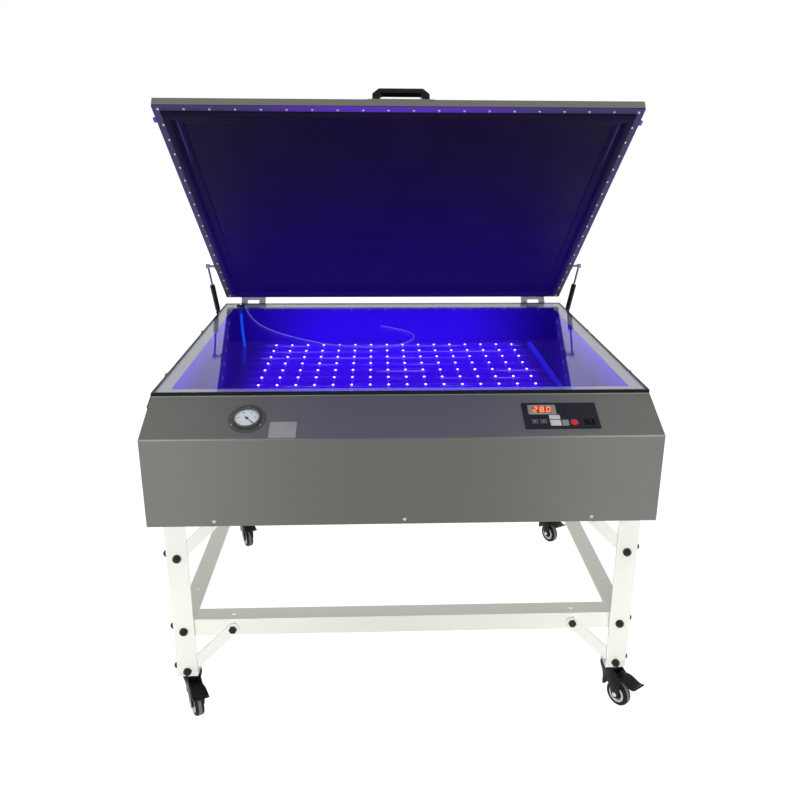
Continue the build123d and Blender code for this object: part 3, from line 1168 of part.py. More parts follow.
def stand_rails():
    """Angle rails: the top frame under the cabinet and the lower frame."""
    t = ANGLE_THICKNESS
    rails = []
    top_low = PAN_BOTTOM_Z - RAIL_SIZE
    span = LEG_X - LEG_SIZE
    front = block((-span, span), (STAND_FRONT_Y, STAND_FRONT_Y + t), (top_low, PAN_BOTTOM_Z))
    front += block((-span, span), (STAND_FRONT_Y, STAND_FRONT_Y + RAIL_SIZE),
                   (PAN_BOTTOM_Z - t, PAN_BOTTOM_Z))
    front -= front_screw_holes()
    rear = mirror(front, about=Plane(origin=(0, STAND_MID_Y, 0), z_dir=(0, 1, 0)))
    near = STAND_FRONT_Y + LEG_SIZE
    far = STAND_REAR_Y - LEG_SIZE
    side = block((-LEG_X, -LEG_X + t), (near, far), (top_low, PAN_BOTTOM_Z))
    side += block((-LEG_X, -LEG_X + RAIL_SIZE), (near, far), (PAN_BOTTOM_Z - t, PAN_BOTTOM_Z))
    hole = BOLT_RADIUS + HOLE_CLEARANCE
    reach = LEG_SIZE / 2 + BRACE_HIGH_RUN
    z = BOLT_TOP_Z
    for x in (-LEG_X + reach, LEG_X - reach):
        front -= rod((x, STAND_FRONT_Y - 1, z), (x, STAND_FRONT_Y + 2 * t, z), hole)
        rear -= rod((x, STAND_REAR_Y + 1, z), (x, STAND_REAR_Y - 2 * t, z), hole)
    for y in (STAND_FRONT_Y + reach, STAND_REAR_Y - reach):
        side -= rod((-LEG_X - 1, y, z), (-LEG_X + 2 * t, y, z), hole)
    rails += [front, rear] + mirrored_x([side])

    low = RAIL_TOP_Z - RAIL_SIZE
    y_face = STAND_FRONT_Y + 2 * t
    x_face = -LEG_X + 2 * t
    x_end = LEG_X - 3 * t
    front = block((-x_end, x_end), (y_face, y_face + t), (low, RAIL_TOP_Z))
    front += block((-x_end, x_end), (y_face, y_face + RAIL_SIZE), (RAIL_TOP_Z - t, RAIL_TOP_Z))
    side_near = y_face + t
    side_far = STAND_REAR_Y - 3 * t
    side = block((x_face, x_face + t), (side_near - t, side_far + t), (low, RAIL_TOP_Z))
    side += block((x_face, x_face + RAIL_SIZE), (y_face + RAIL_SIZE, STAND_REAR_Y - 2 * t - RAIL_SIZE),
                  (RAIL_TOP_Z - t, RAIL_TOP_Z))
    z = BOLT_RAIL_Z
    for along in (LEG_SIZE / 2, LEG_SIZE / 2 + BRACE_LOW_RUN):
        for x in (-LEG_X + along, LEG_X - along):
            front -= rod((x, y_face - 1, z), (x, y_face + 2 * t, z), hole)
        for y in (STAND_FRONT_Y + along, STAND_REAR_Y - along):
            side -= rod((x_face - 1, y, z), (x_face + 2 * t, y, z), hole)
    inset = RAIL_SIZE / 2
    for x in (-LEG_X + LEG_SIZE / 2 + ACCESS_HOLE_FROM_LEG, LEG_X - LEG_SIZE / 2 - ACCESS_HOLE_FROM_LEG):
        front -= Pos(x, y_face + inset, RAIL_TOP_Z) * Cylinder(ACCESS_HOLE_RADIUS, 4 * t)
    for y in (STAND_FRONT_Y + LEG_SIZE / 2 + ACCESS_HOLE_FROM_LEG,
              STAND_REAR_Y - LEG_SIZE / 2 - ACCESS_HOLE_FROM_LEG):
        side -= Pos(x_face + inset, y, RAIL_TOP_Z) * Cylinder(ACCESS_HOLE_RADIUS, 4 * t)
    rear = mirror(front, about=Plane(origin=(0, STAND_MID_Y, 0), z_dir=(0, 1, 0)))
    return rails + [front, rear] + mirrored_x([side])


# ================================================================= casters
def caster_fork():
    """Swivel fork about the stem axis: top plate, two cheeks and the wheel axle."""
    top = LEG_BOTTOM_Z - CASTER_TOP_GAP
    cheek_in = WHEEL_WIDTH / 2 + FORK_GAP
    cheek_out = cheek_in + FORK_PLATE
    fork = Pos(0, 0, top - FORK_TOP_THICKNESS / 2) * Cylinder(FORK_TOP_RADIUS, FORK_TOP_THICKNESS)
    outline = [
        (15, top - FORK_TOP_THICKNESS), (13, top), (-15, top), (-CASTER_TRAIL - 11, BRAKE_PIVOT_Z + 6),
        (-CASTER_TRAIL - 12, WHEEL_RADIUS + 4), (-CASTER_TRAIL - 7, WHEEL_RADIUS - 9),
        (-CASTER_TRAIL + 7, WHEEL_RADIUS - 9), (-CASTER_TRAIL + 13, WHEEL_RADIUS + 6),
        (8, top - 26),
    ]
    for side in (-1, 1):
        low, high = sorted((side * cheek_in, side * cheek_out))
        fork += prism_x(outline, low, high)
    axle_end = cheek_out + 3
    for side in (-1, 1):
        low, high = sorted((side * cheek_out, side * axle_end))
        fork += rod((low, -CASTER_TRAIL, WHEEL_RADIUS), (high, -CASTER_TRAIL, WHEEL_RADIUS), 7)
    fork += rod((-cheek_out, -CASTER_TRAIL, WHEEL_RADIUS), (cheek_out, -CASTER_TRAIL, WHEEL_RADIUS),
                AXLE_RADIUS)
    fork += rod((-cheek_out, -CASTER_TRAIL, BRAKE_PIVOT_Z), (cheek_out, -CASTER_TRAIL, BRAKE_PIVOT_Z),
                BRAKE_PIVOT_RADIUS)
    return fork - rod((0, 0, top - 20), (0, 0, top + 5), STEM_RADIUS + RUNNING_CLEARANCE)


def caster_wheel():
    """Wheel with a rounded tread and a recessed hub on both faces."""
    plane = Plane(origin=(-WHEEL_WIDTH / 2, -CASTER_TRAIL, WHEEL_RADIUS), z_dir=(1, 0, 0))
    wheel = extrude(plane * Circle(WHEEL_RADIUS), amount=WHEEL_WIDTH)
    wheel = fillet(wheel.edges().filter_by(GeomType.CIRCLE), 4.0)
    recess = Circle(22) - Circle(9)
    for x, amount in ((-WHEEL_WIDTH / 2, 3.0), (WHEEL_WIDTH / 2, -3.0)):
        face = Plane(origin=(x, -CASTER_TRAIL, WHEEL_RADIUS), z_dir=(1, 0, 0))
        wheel -= extrude(face * recess, amount=amount)
    bore = rod((-WHEEL_WIDTH, -CASTER_TRAIL, WHEEL_RADIUS), (WHEEL_WIDTH, -CASTER_TRAIL, WHEEL_RADIUS),
               AXLE_RADIUS + RUNNING_CLEARANCE)
    return wheel - bore


def caster_brake():
    """Brake pedal: arm between the cheeks, cam over the wheel, and wide tread outside."""
    pivot_y = -CASTER_TRAIL
    arm_half = WHEEL_WIDTH / 2 + FORK_GAP - SIDE_CLEARANCE
    tread_half = BRAKE_WIDTH / 2
    tread_y = pivot_y - BRAKE_TREAD_START
    lip_y = -BRAKE_REACH + BRAKE_LIP
    arm = [
        (pivot_y - BRAKE_CAM / 2, BRAKE_PIVOT_Z - 3), (pivot_y + 5, BRAKE_PIVOT_Z - 3),
        (pivot_y + 9, BRAKE_PIVOT_Z + 17), (tread_y - 1, BRAKE_PIVOT_Z + 12),
        (tread_y - 1, BRAKE_PIVOT_Z + 8), (pivot_y - 7, BRAKE_PIVOT_Z + 9),
    ]
    tread = [
        (tread_y, BRAKE_PIVOT_Z + 8), (lip_y, BRAKE_PIVOT_Z - 8), (-BRAKE_REACH, BRAKE_PIVOT_Z - 5),
        (-BRAKE_REACH, BRAKE_PIVOT_Z - 1.5), (lip_y, BRAKE_PIVOT_Z - 4), (tread_y, BRAKE_PIVOT_Z + 12),
    ]
    pedal = prism_x(arm, -arm_half, arm_half) + prism_x(tread, -tread_half, tread_half)
    cam = prism_x([(pivot_y - 4, BRAKE_PIVOT_Z), (pivot_y + 4, BRAKE_PIVOT_Z),
                   (pivot_y + 2.5, BRAKE_PIVOT_Z - BRAKE_CAM), (pivot_y - 2.5, BRAKE_PIVOT_Z - BRAKE_CAM)],
                  -arm_half, arm_half)
    pedal += cam.rotate(Axis((0, pivot_y, BRAKE_PIVOT_Z), (1, 0, 0)), -BRAKE_TRAVEL)
    hole = BRAKE_PIVOT_RADIUS + RUNNING_CLEARANCE
    return pedal - rod((-tread_half, pivot_y, BRAKE_PIVOT_Z), (tread_half, pivot_y, BRAKE_PIVOT_Z),
                       hole)


def caster_places():
    """Stem centre of each caster."""
    reach_x = LEG_X - ANGLE_THICKNESS - (LEG_SIZE - ANGLE_THICKNESS) / 2
    inset = ANGLE_THICKNESS + (LEG_SIZE - ANGLE_THICKNESS) / 2
    rows = {"front": STAND_FRONT_Y + inset, "rear": STAND_REAR_Y - inset}
    sides = {"left": -reach_x, "right": reach_x}
    return {f"{row}_{side}": (x, y) for row, y in rows.items() for side, x in sides.items()}


# ================================================================= assembly
def build_nodes():
    nodes = {
        "cabinet_front_panel": [front_panel()],
        "cabinet_sides_and_rear": side_and_rear_panels(),
        "cabinet_floor_pan": [floor_pan()],
        "deck_frame": [deck_sheet()] + deck_flanges(),
        "exposure_glass": [glass_plate()],
        "glass_edge_trim": [edge_trim()],
        "led_tray": [led_tray()],
        "led_bars": led_bars(),
        "led_lenses": led_lenses(),
        "led_drivers": led_drivers(),
        "vacuum_pump": [vacuum_pump()],
        "vacuum_port": [vacuum_port()],
        "gauge_case": [gauge_case()],
        "gauge_needle": [gauge_needle()],
        "gauge_lens": [gauge_lens()],
        "control_panel": [control_panel()],
        "display_window": [display_window()],
        "power_rocker": [power_rocker()],
        "label_plate": [label_plate()],
        "cabinet_screws": cabinet_screws(),
        "power_inlet": [power_inlet()],
        "side_brackets": mirrored_x([strut_lower_bracket(), latch_base()]),
        "latch_hook_left": [latch_hook()],
        "latch_hook_right": [mirror(latch_hook(), about=Plane.YZ)],
    }
    for name, key in panel_keys().items():
        nodes[name] = [key]

    hose, hose_path, hose_radii = tube_along(hose_route(), HOSE_DIAMETER)
    cord, cord_path, cord_radii = tube_along(cord_route(), CORD_DIAMETER)
    nodes["vacuum_hose"] = [hose]
    nodes["bleeder_cord"] = [cord]
    for name, tube, path, radii, diameter in (
        ("vacuum_hose", hose, hose_path, hose_radii, HOSE_DIAMETER),
        ("bleeder_cord", cord, cord_path, cord_radii, CORD_DIAMETER),
    ):
        expected = path.length * pi * diameter ** 2 / 4
        print(name, "length", round(path.length, 1), "volume ratio", round(tube.volume / expected, 4))
        print(name, "radii", [round(radius) for radius in radii])

    base_leaves, lid_leaves = hinge_pairs()
    nodes["hinge_base_leaves"] = base_leaves
    holes = lid_screw_holes()
    grip, plate = handle()
    closed_lid = {
        "lid_frame": [rail - holes for rail in lid_rails()] + [plate],
        "lid_blanket": [lid_blanket() - holes],
        "lid_clamp_strips": [strip - holes for strip in clamp_strips()],
        "lid_screws": lid_screws(),
        "lid_handle": [grip],
        "hinge_lid_leaves": lid_leaves,
        "lid_side_fittings": mirrored_x([strut_upper_bracket(), lid_keeper()]),
    }
    for name, solids in closed_lid.items():
        nodes[name] = [swing_lid(solid) for solid in solids]

    for name, side in (("left", -1), ("right", 1)):
        cylinder, shaft = strut_parts(side)
        nodes[f"strut_cylinder_{name}"] = [cylinder]
        nodes[f"strut_rod_{name}"] = [shaft]

    leg, braces, bolts = stand_corner()
    nodes["stand_legs"] = four_corners([leg])
    nodes["stand_rails"] = stand_rails()
    nodes["stand_braces"] = four_corners(braces)
    nodes["stand_bolts"] = four_corners(bolts)

    for name, (x, y) in caster_places().items():
        place = Pos(x, y, 0) * Rot(0, 0, CASTER_HEADINGS[name])
        nodes[f"caster_fork_{name}"] = [place * caster_fork()]
        nodes[f"caster_wheel_{name}"] = [place * caster_wheel()]
        nodes[f"caster_brake_{name}"] = [place * caster_brake()]
    return nodes


def flat_solids(shapes):
    """All single solids held by a list of shapes."""
    return [solid for shape in shapes for solid in shape.solids()]


def main():
    os.makedirs("parts", exist_ok=True)
    for name, shapes in build_nodes().items():
        export_step(Compound(children=flat_solids(shapes)), os.path.join("parts", name + ".step"))


main()
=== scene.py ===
"""Looks of a screen printing exposure unit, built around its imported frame.

Metres, in the frame's own axes: +X is the operator's right, +Y the rear and +Z up, with the floor
at z = 0. Every sub-assembly is a class that takes its sizes from the frame and its own fields.
"""

import json
import logging
import math
from dataclasses import dataclass, field
from enum import Enum
from typing import Iterable, Optional, Sequence, Union

import bmesh
import bpy
from mathutils import Matrix, Vector


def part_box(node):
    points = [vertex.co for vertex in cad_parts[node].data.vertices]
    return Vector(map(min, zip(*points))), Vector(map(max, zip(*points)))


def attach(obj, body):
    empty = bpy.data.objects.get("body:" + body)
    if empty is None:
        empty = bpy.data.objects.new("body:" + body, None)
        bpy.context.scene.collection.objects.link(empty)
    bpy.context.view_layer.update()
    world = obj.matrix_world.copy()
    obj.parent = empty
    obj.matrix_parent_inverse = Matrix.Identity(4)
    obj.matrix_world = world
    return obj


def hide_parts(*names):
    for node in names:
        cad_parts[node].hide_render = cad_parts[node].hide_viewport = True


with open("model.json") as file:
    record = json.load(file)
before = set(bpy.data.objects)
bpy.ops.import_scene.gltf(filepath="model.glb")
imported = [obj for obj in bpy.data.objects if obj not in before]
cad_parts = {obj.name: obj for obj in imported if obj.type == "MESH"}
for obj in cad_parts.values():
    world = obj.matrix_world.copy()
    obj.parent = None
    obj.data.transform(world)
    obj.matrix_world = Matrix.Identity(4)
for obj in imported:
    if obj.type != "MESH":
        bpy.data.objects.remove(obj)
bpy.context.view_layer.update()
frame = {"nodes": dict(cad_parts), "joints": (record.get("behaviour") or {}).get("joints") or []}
LOG = logging.getLogger("exposure_unit")
CABINET = "cabinet_and_stand"
LID = "lid"
CORNERS = ("front_left", "front_right", "rear_left", "rear_right")
SLOPE_RISE = 60.0 / 130.0  # rise of the instrument slope for its run

Colour = tuple[float, float, float]
Point = tuple[float, float, float]
Number = Union[float, "Value"]
UNLIT: Colour = (0.0, 0.0, 0.0)
WHITE: Colour = (1.0, 1.0, 1.0)
RIGHT, REAR, UP = (Vector(row) for row in Matrix.Identity(3))
FRONT = -REAR


# ------------------------------------------------------------------ shader maths
class Value:
    """One shader value that takes part in Python arithmetic."""

    def __init__(self, graph: "Graph", socket: bpy.types.NodeSocket) -> None:
        """Keep the socket and the graph that it belongs to."""
        self.graph = graph
        self.socket = socket

    def __add__(self, other: Number) -> "Value":
        """Sum."""
        return self.graph.maths("ADD", self, other)

    def __sub__(self, other: Number) -> "Value":
        """Difference."""
        return self.graph.maths("SUBTRACT", self, other)

    def __rsub__(self, other: Number) -> "Value":
        """Difference, from a plain number."""
        return self.graph.maths("SUBTRACT", other, self)

    def __mul__(self, other: Number) -> "Value":
        """Product."""
        return self.graph.maths("MULTIPLY", self, other)

    def __truediv__(self, other: Number) -> "Value":
        """Quotient."""
        return self.graph.maths("DIVIDE", self, other)

    __radd__ = __add__
    __rmul__ = __mul__

    def size(self) -> "Value":
        """The value without its sign."""
        return self.graph.maths("ABSOLUTE", self, 0.0)

    def within(self, low: float, high: float) -> "Value":
        """Rise smoothly from 0 at low to 1 at high, or fall when low is above high."""
        sockets = {"Value": self, "From Min": low, "From Max": high}
        made = self.graph.node("MapRange", {"interpolation_type": "SMOOTHSTEP"}, sockets)
        return Value(self.graph, made.outputs[0])

    def repeat(self, pitch: float, centre: float = 0.0) -> "Value":
        """Distance to the nearest of evenly spaced lines, one of them at centre."""
        moved = (self - centre + 0.5 * pitch) / pitch
        share = self.graph.maths("FRACT", moved, 0.0)
        return ((share - 0.5) * pitch).size()


class Graph:
    """The node tree of a material or world, with one method that adds any node."""

    def __init__(self, owner: Union[bpy.types.Material, bpy.types.World]) -> None:
        """Start with an empty tree."""
        self.owner = owner
        owner.use_nodes = True
        self.tree = owner.node_tree
        self.tree.nodes.clear()

    def node(self, kind: str, settings: Optional[dict] = None,
             sockets: Optional[dict] = None) -> bpy.types.Node:
        """Add a node.

        Args:
            kind: the node's type, without its ShaderNode prefix.
            settings: properties, set before the sockets.
            sockets: values, links or Value objects by socket name or index.
        Returns:
            The node.
        """
        made = self.tree.nodes.new("ShaderNode" + kind)
        for key, value in (settings or {}).items():
            setattr(made, key, value)
        for key, value in (sockets or {}).items():
            self.feed(made.inputs[key], value)
        return made

    def feed(self, socket: bpy.types.NodeSocket, value: object) -> None:
        """Link a value to a socket, or set it when it is plain."""
        source = value.socket if isinstance(value, Value) else value
        if isinstance(source, bpy.types.NodeSocket):
            self.tree.links.new(source, socket)
        elif isinstance(source, tuple) and socket.type == "RGBA":
            socket.default_value = (*source, 1.0)
        else:
            socket.default_value = source

    def maths(self, operation: str, first: Number, second: Number) -> Value:
        """Add a Math node and return its result."""
        made = self.node("Math", {"operation": operation}, {0: first, 1: second})
        return Value(self, made.outputs[0])

    def place(self) -> bpy.types.NodeSocket:
        """The surface point in the piece's own coordinates."""
        return self.node("TexCoord").outputs["Object"]

    def axes(self) -> tuple[Value, Value, Value]:
        """The three coordinates of the surface point."""
        split = self.node("SeparateXYZ", {}, {0: self.place()})
        return tuple(Value(self, output) for output in split.outputs)

    def noise(self, scale: float, detail: float = 2.0,
              stretch: Point = (1.0, 1.0, 1.0)) -> Value:
        """Smooth noise of about 0 to 1, its pattern stretched along the axes."""
        spread = self.node("Mapping", {}, {"Vector": self.place(), "Scale": stretch})
        made = self.node("TexNoise", {}, {"Vector": spread.outputs[0], "Scale": scale,
                                          "Detail": detail})
        return Value(self, made.outputs[0])

    def blend(self, factor: Number, first: object, second: object) -> bpy.types.NodeSocket:
        """Mix two colours."""
        made = self.node("Mix", {"data_type": "RGBA"}, {0: factor, 6: first, 7: second})
        return made.outputs[2]

    def bump(self, height: Value, distance: float, strength: float = 1.0) -> bpy.types.NodeSocket:
        """Turn a height into a normal."""
        made = self.node("Bump", {}, {"Height": height, "Distance": distance,
                                      "Strength": strength})
        return made.outputs[0]

    def close(self, shader: bpy.types.NodeSocket) -> bpy.types.Material:
        """Join the last shader to the output and hand over the material."""
        self.node("OutputMaterial", {}, {"Surface": shader})
        return self.owner

    def principled(self, **sockets: object) -> bpy.types.Material:
        """Close the graph with one Principled shader.

        Args:
            sockets: socket names with underscores for spaces.
        Returns:
            The finished material.
        """
        named = {key.replace("_", " "): value for key, value in sockets.items()}
        return self.close(self.node("BsdfPrincipled", {}, named).outputs[0])


# ------------------------------------------------------------------ finishes
@dataclass(frozen=True)
class Finish:
    """A finish, made into a material once."""

    name: str

    def material(self) -> bpy.types.Material:
        """The finish's material, built on first use."""
        label = "finish_" + self.name
        return bpy.data.materials.get(label) or self.build(Graph(bpy.data.materials.new(label)))

    def build(self, graph: Graph) -> bpy.types.Material:
        """Build the nodes."""
        raise NotImplementedError

    def dress(self, *nodes: str) -> None:
        """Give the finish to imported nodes."""
        for name in nodes:
            slots = frame["nodes"][name].material_slots
            for slot in slots:
                slot.material = self.material()


def shade(colour: Colour, factor: float) -> Colour:
    """A colour made lighter or darker."""
    return tuple(min(1.0, part * factor) for part in colour)


@dataclass(frozen=True)
class PowderCoat(Finish):
    """Powder-coated steel: soft mottling, fine peel, a little dust and painted highlights along its
    folds.
    """

    colour: Colour
    roughness: float = 0.42
    mottle: float = 0.07
    peel: float = 0.00004
    # painted highlights: a height, half width and gain for each fold
    highlight_folds: tuple[tuple[float, float, float], ...] = ()
    gloss: float = 0.5

    def colour_socket(self, graph: Graph) -> bpy.types.NodeSocket:
        """Mottled paint colour, with painted highlights along the folds."""
        cloud = graph.noise(5.0, 3.0)
        base = graph.blend(cloud, shade(self.colour, 1 - self.mottle),
                           shade(self.colour, 1 + self.mottle))
        speck = graph.noise(420.0, 1.0).within(0.60, 0.72)
        coat = graph.blend(speck * 0.35, base, shade(self.colour, 1.18))
        return self.paint_fold_highlights(graph, coat)

    def paint_fold_highlights(self, graph: Graph, coat: bpy.types.NodeSocket) -> bpy.types.NodeSocket:
        """Paint highlights on the coat along folds, where the bends catch light; each fold is a
        height, half width and gain.
        """
        height = graph.axes()[2]
        for level, half, gain in self.highlight_folds:
            near = (height - level).size().within(half * 1.6, half * 0.5)
            # painted highlight along the fold, broken by noise
            fold_highlight = near * (graph.noise(9.0, 3.0) * 0.5 + 0.55)
            coat = graph.blend(fold_highlight, coat, shade(self.colour, gain))
        return coat

    def rough(self, graph: Graph) -> Value:
        """Roughness with faint wiped streaks."""
        return graph.noise(3.0, 4.0, (1.0, 1.0, 6.0)) * 0.14 + (self.roughness - 0.07)

    def skin(self, graph: Graph) -> bpy.types.NodeSocket:
        """Orange peel of the coat."""
        return graph.bump(graph.noise(700.0, 2.0), self.peel)

    def build(self, graph: Graph) -> bpy.types.Material:
        """Build the nodes."""
        return graph.principled(Base_Color=self.colour_socket(graph), Roughness=self.rough(graph),
                                Normal=self.skin(graph), Specular_IOR_Level=self.gloss)


@dataclass(frozen=True)
class Wash:
    """A box in which lamp light is painted on a surface as a glow, and how that painted light
    fades.

    side and foot are the shares of light left at |x| = reach[1] and at the bottom of the box. A
    tone is a base colour painted there for the light's shade, tint and highlight, and metal is how
    metallic the surface is.
    """

    low: Point
    high: Point
    glow: Colour = UNLIT
    tone: Optional[Colour] = None
    metal: float = 0.0
    side: float = 1.0
    foot: float = 1.0
    reach: tuple[float, float] = (0.16, 0.60)

    def shares(self, graph: Graph) -> tuple[Value, Value]:
        """Whether a point is in the box, and its share of full light."""
        inside: Number = 1.0
        axes = graph.axes()
        edge = 0.0004
        for value, low, high in zip(axes, self.low, self.high):
            inside = value.within(low - edge, low) * value.within(high + edge, high) * inside
        across = axes[0].size().within(self.reach[1], self.reach[0]) * (1 - self.side) + self.side
        rising = axes[2].within(self.low[2], self.high[2]) * (1 - self.foot) + self.foot
        return inside, inside * across * rising


@dataclass(frozen=True)
class LitPanel(PowderCoat):
    """Powder coat with painted lamp light, painted shade and painted highlights in places."""

    washes: tuple[Wash, ...] = ()

    def build(self, graph: Graph) -> bpy.types.Material:
        """Build the nodes."""
        base = self.colour_socket(graph)
        lit: object = UNLIT
        metal: Number = 0.0
        cloud = graph.noise(3.2, 2.0, (1.0, 1.0, 2.0)) * 0.5 + 0.72
        for wash in self.washes:
            inside, level = wash.shares(graph)
            lit = graph.blend(level * cloud, lit, wash.glow)
            # a tone paints shade, tint and highlight into the base colour
            if wash.tone:
                base = graph.blend(inside if wash.metal else level, base, wash.tone)
            if wash.metal:
                metal = inside * wash.metal + metal
        return graph.principled(Base_Color=base, Roughness=self.rough(graph), Metallic=metal,
                                Specular_IOR_Level=self.gloss, Normal=self.skin(graph),
                                Emission_Color=lit, Emission_Strength=1.0)


@dataclass(frozen=True)
class BareMetal(Finish):
    """Plain or plated metal with a drawn grain."""

    colour: Colour
    roughness: float = 0.3
    grain: Point = (1.0, 1.0, 1.0)
    tarnish: float = 0.12

    def build(self, graph: Graph) -> bpy.types.Material:
        """Build the nodes."""
        lines = graph.noise(90.0, 3.0, self.grain)
        cloud = graph.noise(14.0, 3.0)
        base = graph.blend(cloud, shade(self.colour, 1 - self.tarnish),
                           shade(self.colour, 1 + self.tarnish))
        rough = lines * 0.2 + cloud * 0.1 + (self.roughness - 0.15)
        return graph.principled(Base_Color=base, Roughness=rough, Metallic=1.0,
                                Normal=graph.bump(lines, 0.00003))


@dataclass(frozen=True)
class Moulding(Finish):
    """Moulded plastic or nylon with a fine spark texture; its glow is painted light."""

    colour: Colour
    roughness: float = 0.4
    texture: float = 0.00002
    glow: float = 0.0
    solidity: float = 1.0
    gloss: float = 0.5

    def build(self, graph: Graph) -> bpy.types.Material:
        """Build the nodes."""
        cloud = graph.noise(30.0, 2.0)
        spark = graph.noise(900.0, 2.0)
        base = graph.blend(cloud, shade(self.colour, 0.88), shade(self.colour, 1.12))
        rough = cloud * 0.16 + (self.roughness - 0.08)
        return graph.principled(Base_Color=base, Roughness=rough, Coat_Weight=0.08,
                                Normal=graph.bump(spark, self.texture),
                                Emission_Color=self.colour, Emission_Strength=self.glow,
                                Alpha=self.solidity, Specular_IOR_Level=self.gloss)


@dataclass(frozen=True)
class RubberSkin(Finish):
    """Blanket or strip rubber: very dark, faintly crazed and dusty.

    Lamp light on it grows from dim to glow between the heights of lit_below, and lies only below
    lit_under, a height on the closed lid, where one is given. A fold is a fine glint along
    |x| = fold that comes and goes between the heights of fold_start and fold_end.
    """

    colour: Colour
    roughness: float = 0.34
    gloss: float = 0.5
    dim: Colour = UNLIT
    glow: Colour = UNLIT
    lit_below: tuple[float, float] = (1.45, 0.85)
    fold: float = 0.0
    fold_start: tuple[float, float] = (1.30, 1.37)
    fold_end: tuple[float, float] = (1.445, 1.415)
    fold_width: tuple[float, float] = (0.0013, 0.0005)
    fold_glint: Colour = (0.12, 0.07, 0.45)
    lit_under: float = 0.0
    lit_edge: float = 0.0006

    def build(self, graph: Graph) -> bpy.types.Material:
        """Build the nodes."""
        dust = graph.noise(9.0, 5.0).within(0.45, 0.80)
        pores = graph.noise(260.0, 3.0)
        base = graph.blend(dust * 0.35, self.colour, shade(self.colour, 2.2))
        rough = dust * 0.22 + self.roughness
        across, _, height = graph.axes()
        lit = graph.blend(height.within(*self.lit_below), self.dim, self.glow)
        if self.fold:
            crease = (across.size() - self.fold).size().within(*self.fold_width)
            upper = height.within(*self.fold_start) * height.within(*self.fold_end)
            lit = graph.blend(crease * upper * 0.6, lit, self.fold_glint)
        if self.lit_under:
            closed = LAYOUT.closed_height(graph)
            back = closed.within(self.lit_under, self.lit_under + self.lit_edge)
            lit = graph.blend(back, lit, UNLIT)
        return graph.principled(Base_Color=base, Roughness=rough, Specular_IOR_Level=self.gloss,
                                Normal=graph.bump(pores, 0.00005, 0.6), Emission_Color=lit,
                                Emission_Strength=1.0)


@dataclass(frozen=True)
class ClearPane(Finish):
    """Polished glass."""

    tint: Colour = (0.96, 0.99, 0.98)
    bend: float = 1.17
    haze: float = 0.035

    def build(self, graph: Graph) -> bpy.types.Material:
        """Build the nodes."""
        smear = graph.noise(4.0, 4.0).within(0.50, 0.85)
        return graph.principled(Base_Color=self.tint, Roughness=smear * self.haze,
                                Transmission_Weight=1.0, IOR=self.bend)


@dataclass(frozen=True)
class Lamp(Finish):
    """A surface that shines by itself."""

    colour: Colour
    strength: float

    def build(self, graph: Graph) -> bpy.types.Material:
        """Build the nodes."""
        lit = graph.blend(graph.noise(300.0, 1.0), self.colour, shade(self.colour, 0.8))
        return graph.principled(Base_Color=self.colour, Roughness=0.25, Emission_Color=lit,
                                Emission_Strength=self.strength)


@dataclass(frozen=True)
class LitTray(Finish):
    """Polished tray sheet with the lamps' light painted on it, brightest in a halo round each lamp.

    fade_x and fade_y are how far outside and inside the outer lamps the light on it fades.
    """

    pitch_x: float
    pitch_y: float
    centre_y: float
    half_x: float
    half_y: float
    deep: Colour = (0.014, 0.004, 0.13)
    bright: Colour = (0.055, 0.004, 1.0)
    # a violet metal colour that is a painted tint of the lamp light
    metal: Colour = (0.06, 0.03, 0.40)
    fade_x: tuple[float, float] = (0.075, 0.03)
    fade_y: tuple[float, float] = (0.10, 0.02)
    halo_size: float = 0.00042
    strength: float = 0.85

    def field(self, graph: Graph) -> Value:
        """Share of full light: high over the lamps, low beside them."""
        x, y, _ = graph.axes()
        outer_x, inner_x = self.half_x + self.fade_x[0], self.half_x - self.fade_x[1]
        outer_y, inner_y = self.half_y + self.fade_y[0], self.half_y - self.fade_y[1]
        across = x.size().within(outer_x, inner_x)
        along = (y - self.centre_y).size().within(outer_y, inner_y)
        column = x.repeat(self.pitch_x, self.pitch_x / 2)
        row = y.repeat(self.pitch_y, self.centre_y + self.pitch_y / 2)
        reach = column * column * 0.7 + row * row
        halo = reach.within(self.halo_size, 0.0)
        cloud = graph.noise(6.0, 2.0, (1.0, 3.0, 1.0)) * 0.4 + 0.55
        return across * along * (halo * 0.45 + cloud)

    def build(self, graph: Graph) -> bpy.types.Material:
        """Build the nodes."""
        level = self.field(graph)
        lit = graph.blend(level, self.deep, self.bright)
        return graph.principled(Base_Color=self.metal, Metallic=1.0, Roughness=0.25,
                                Emission_Color=lit, Emission_Strength=self.strength)


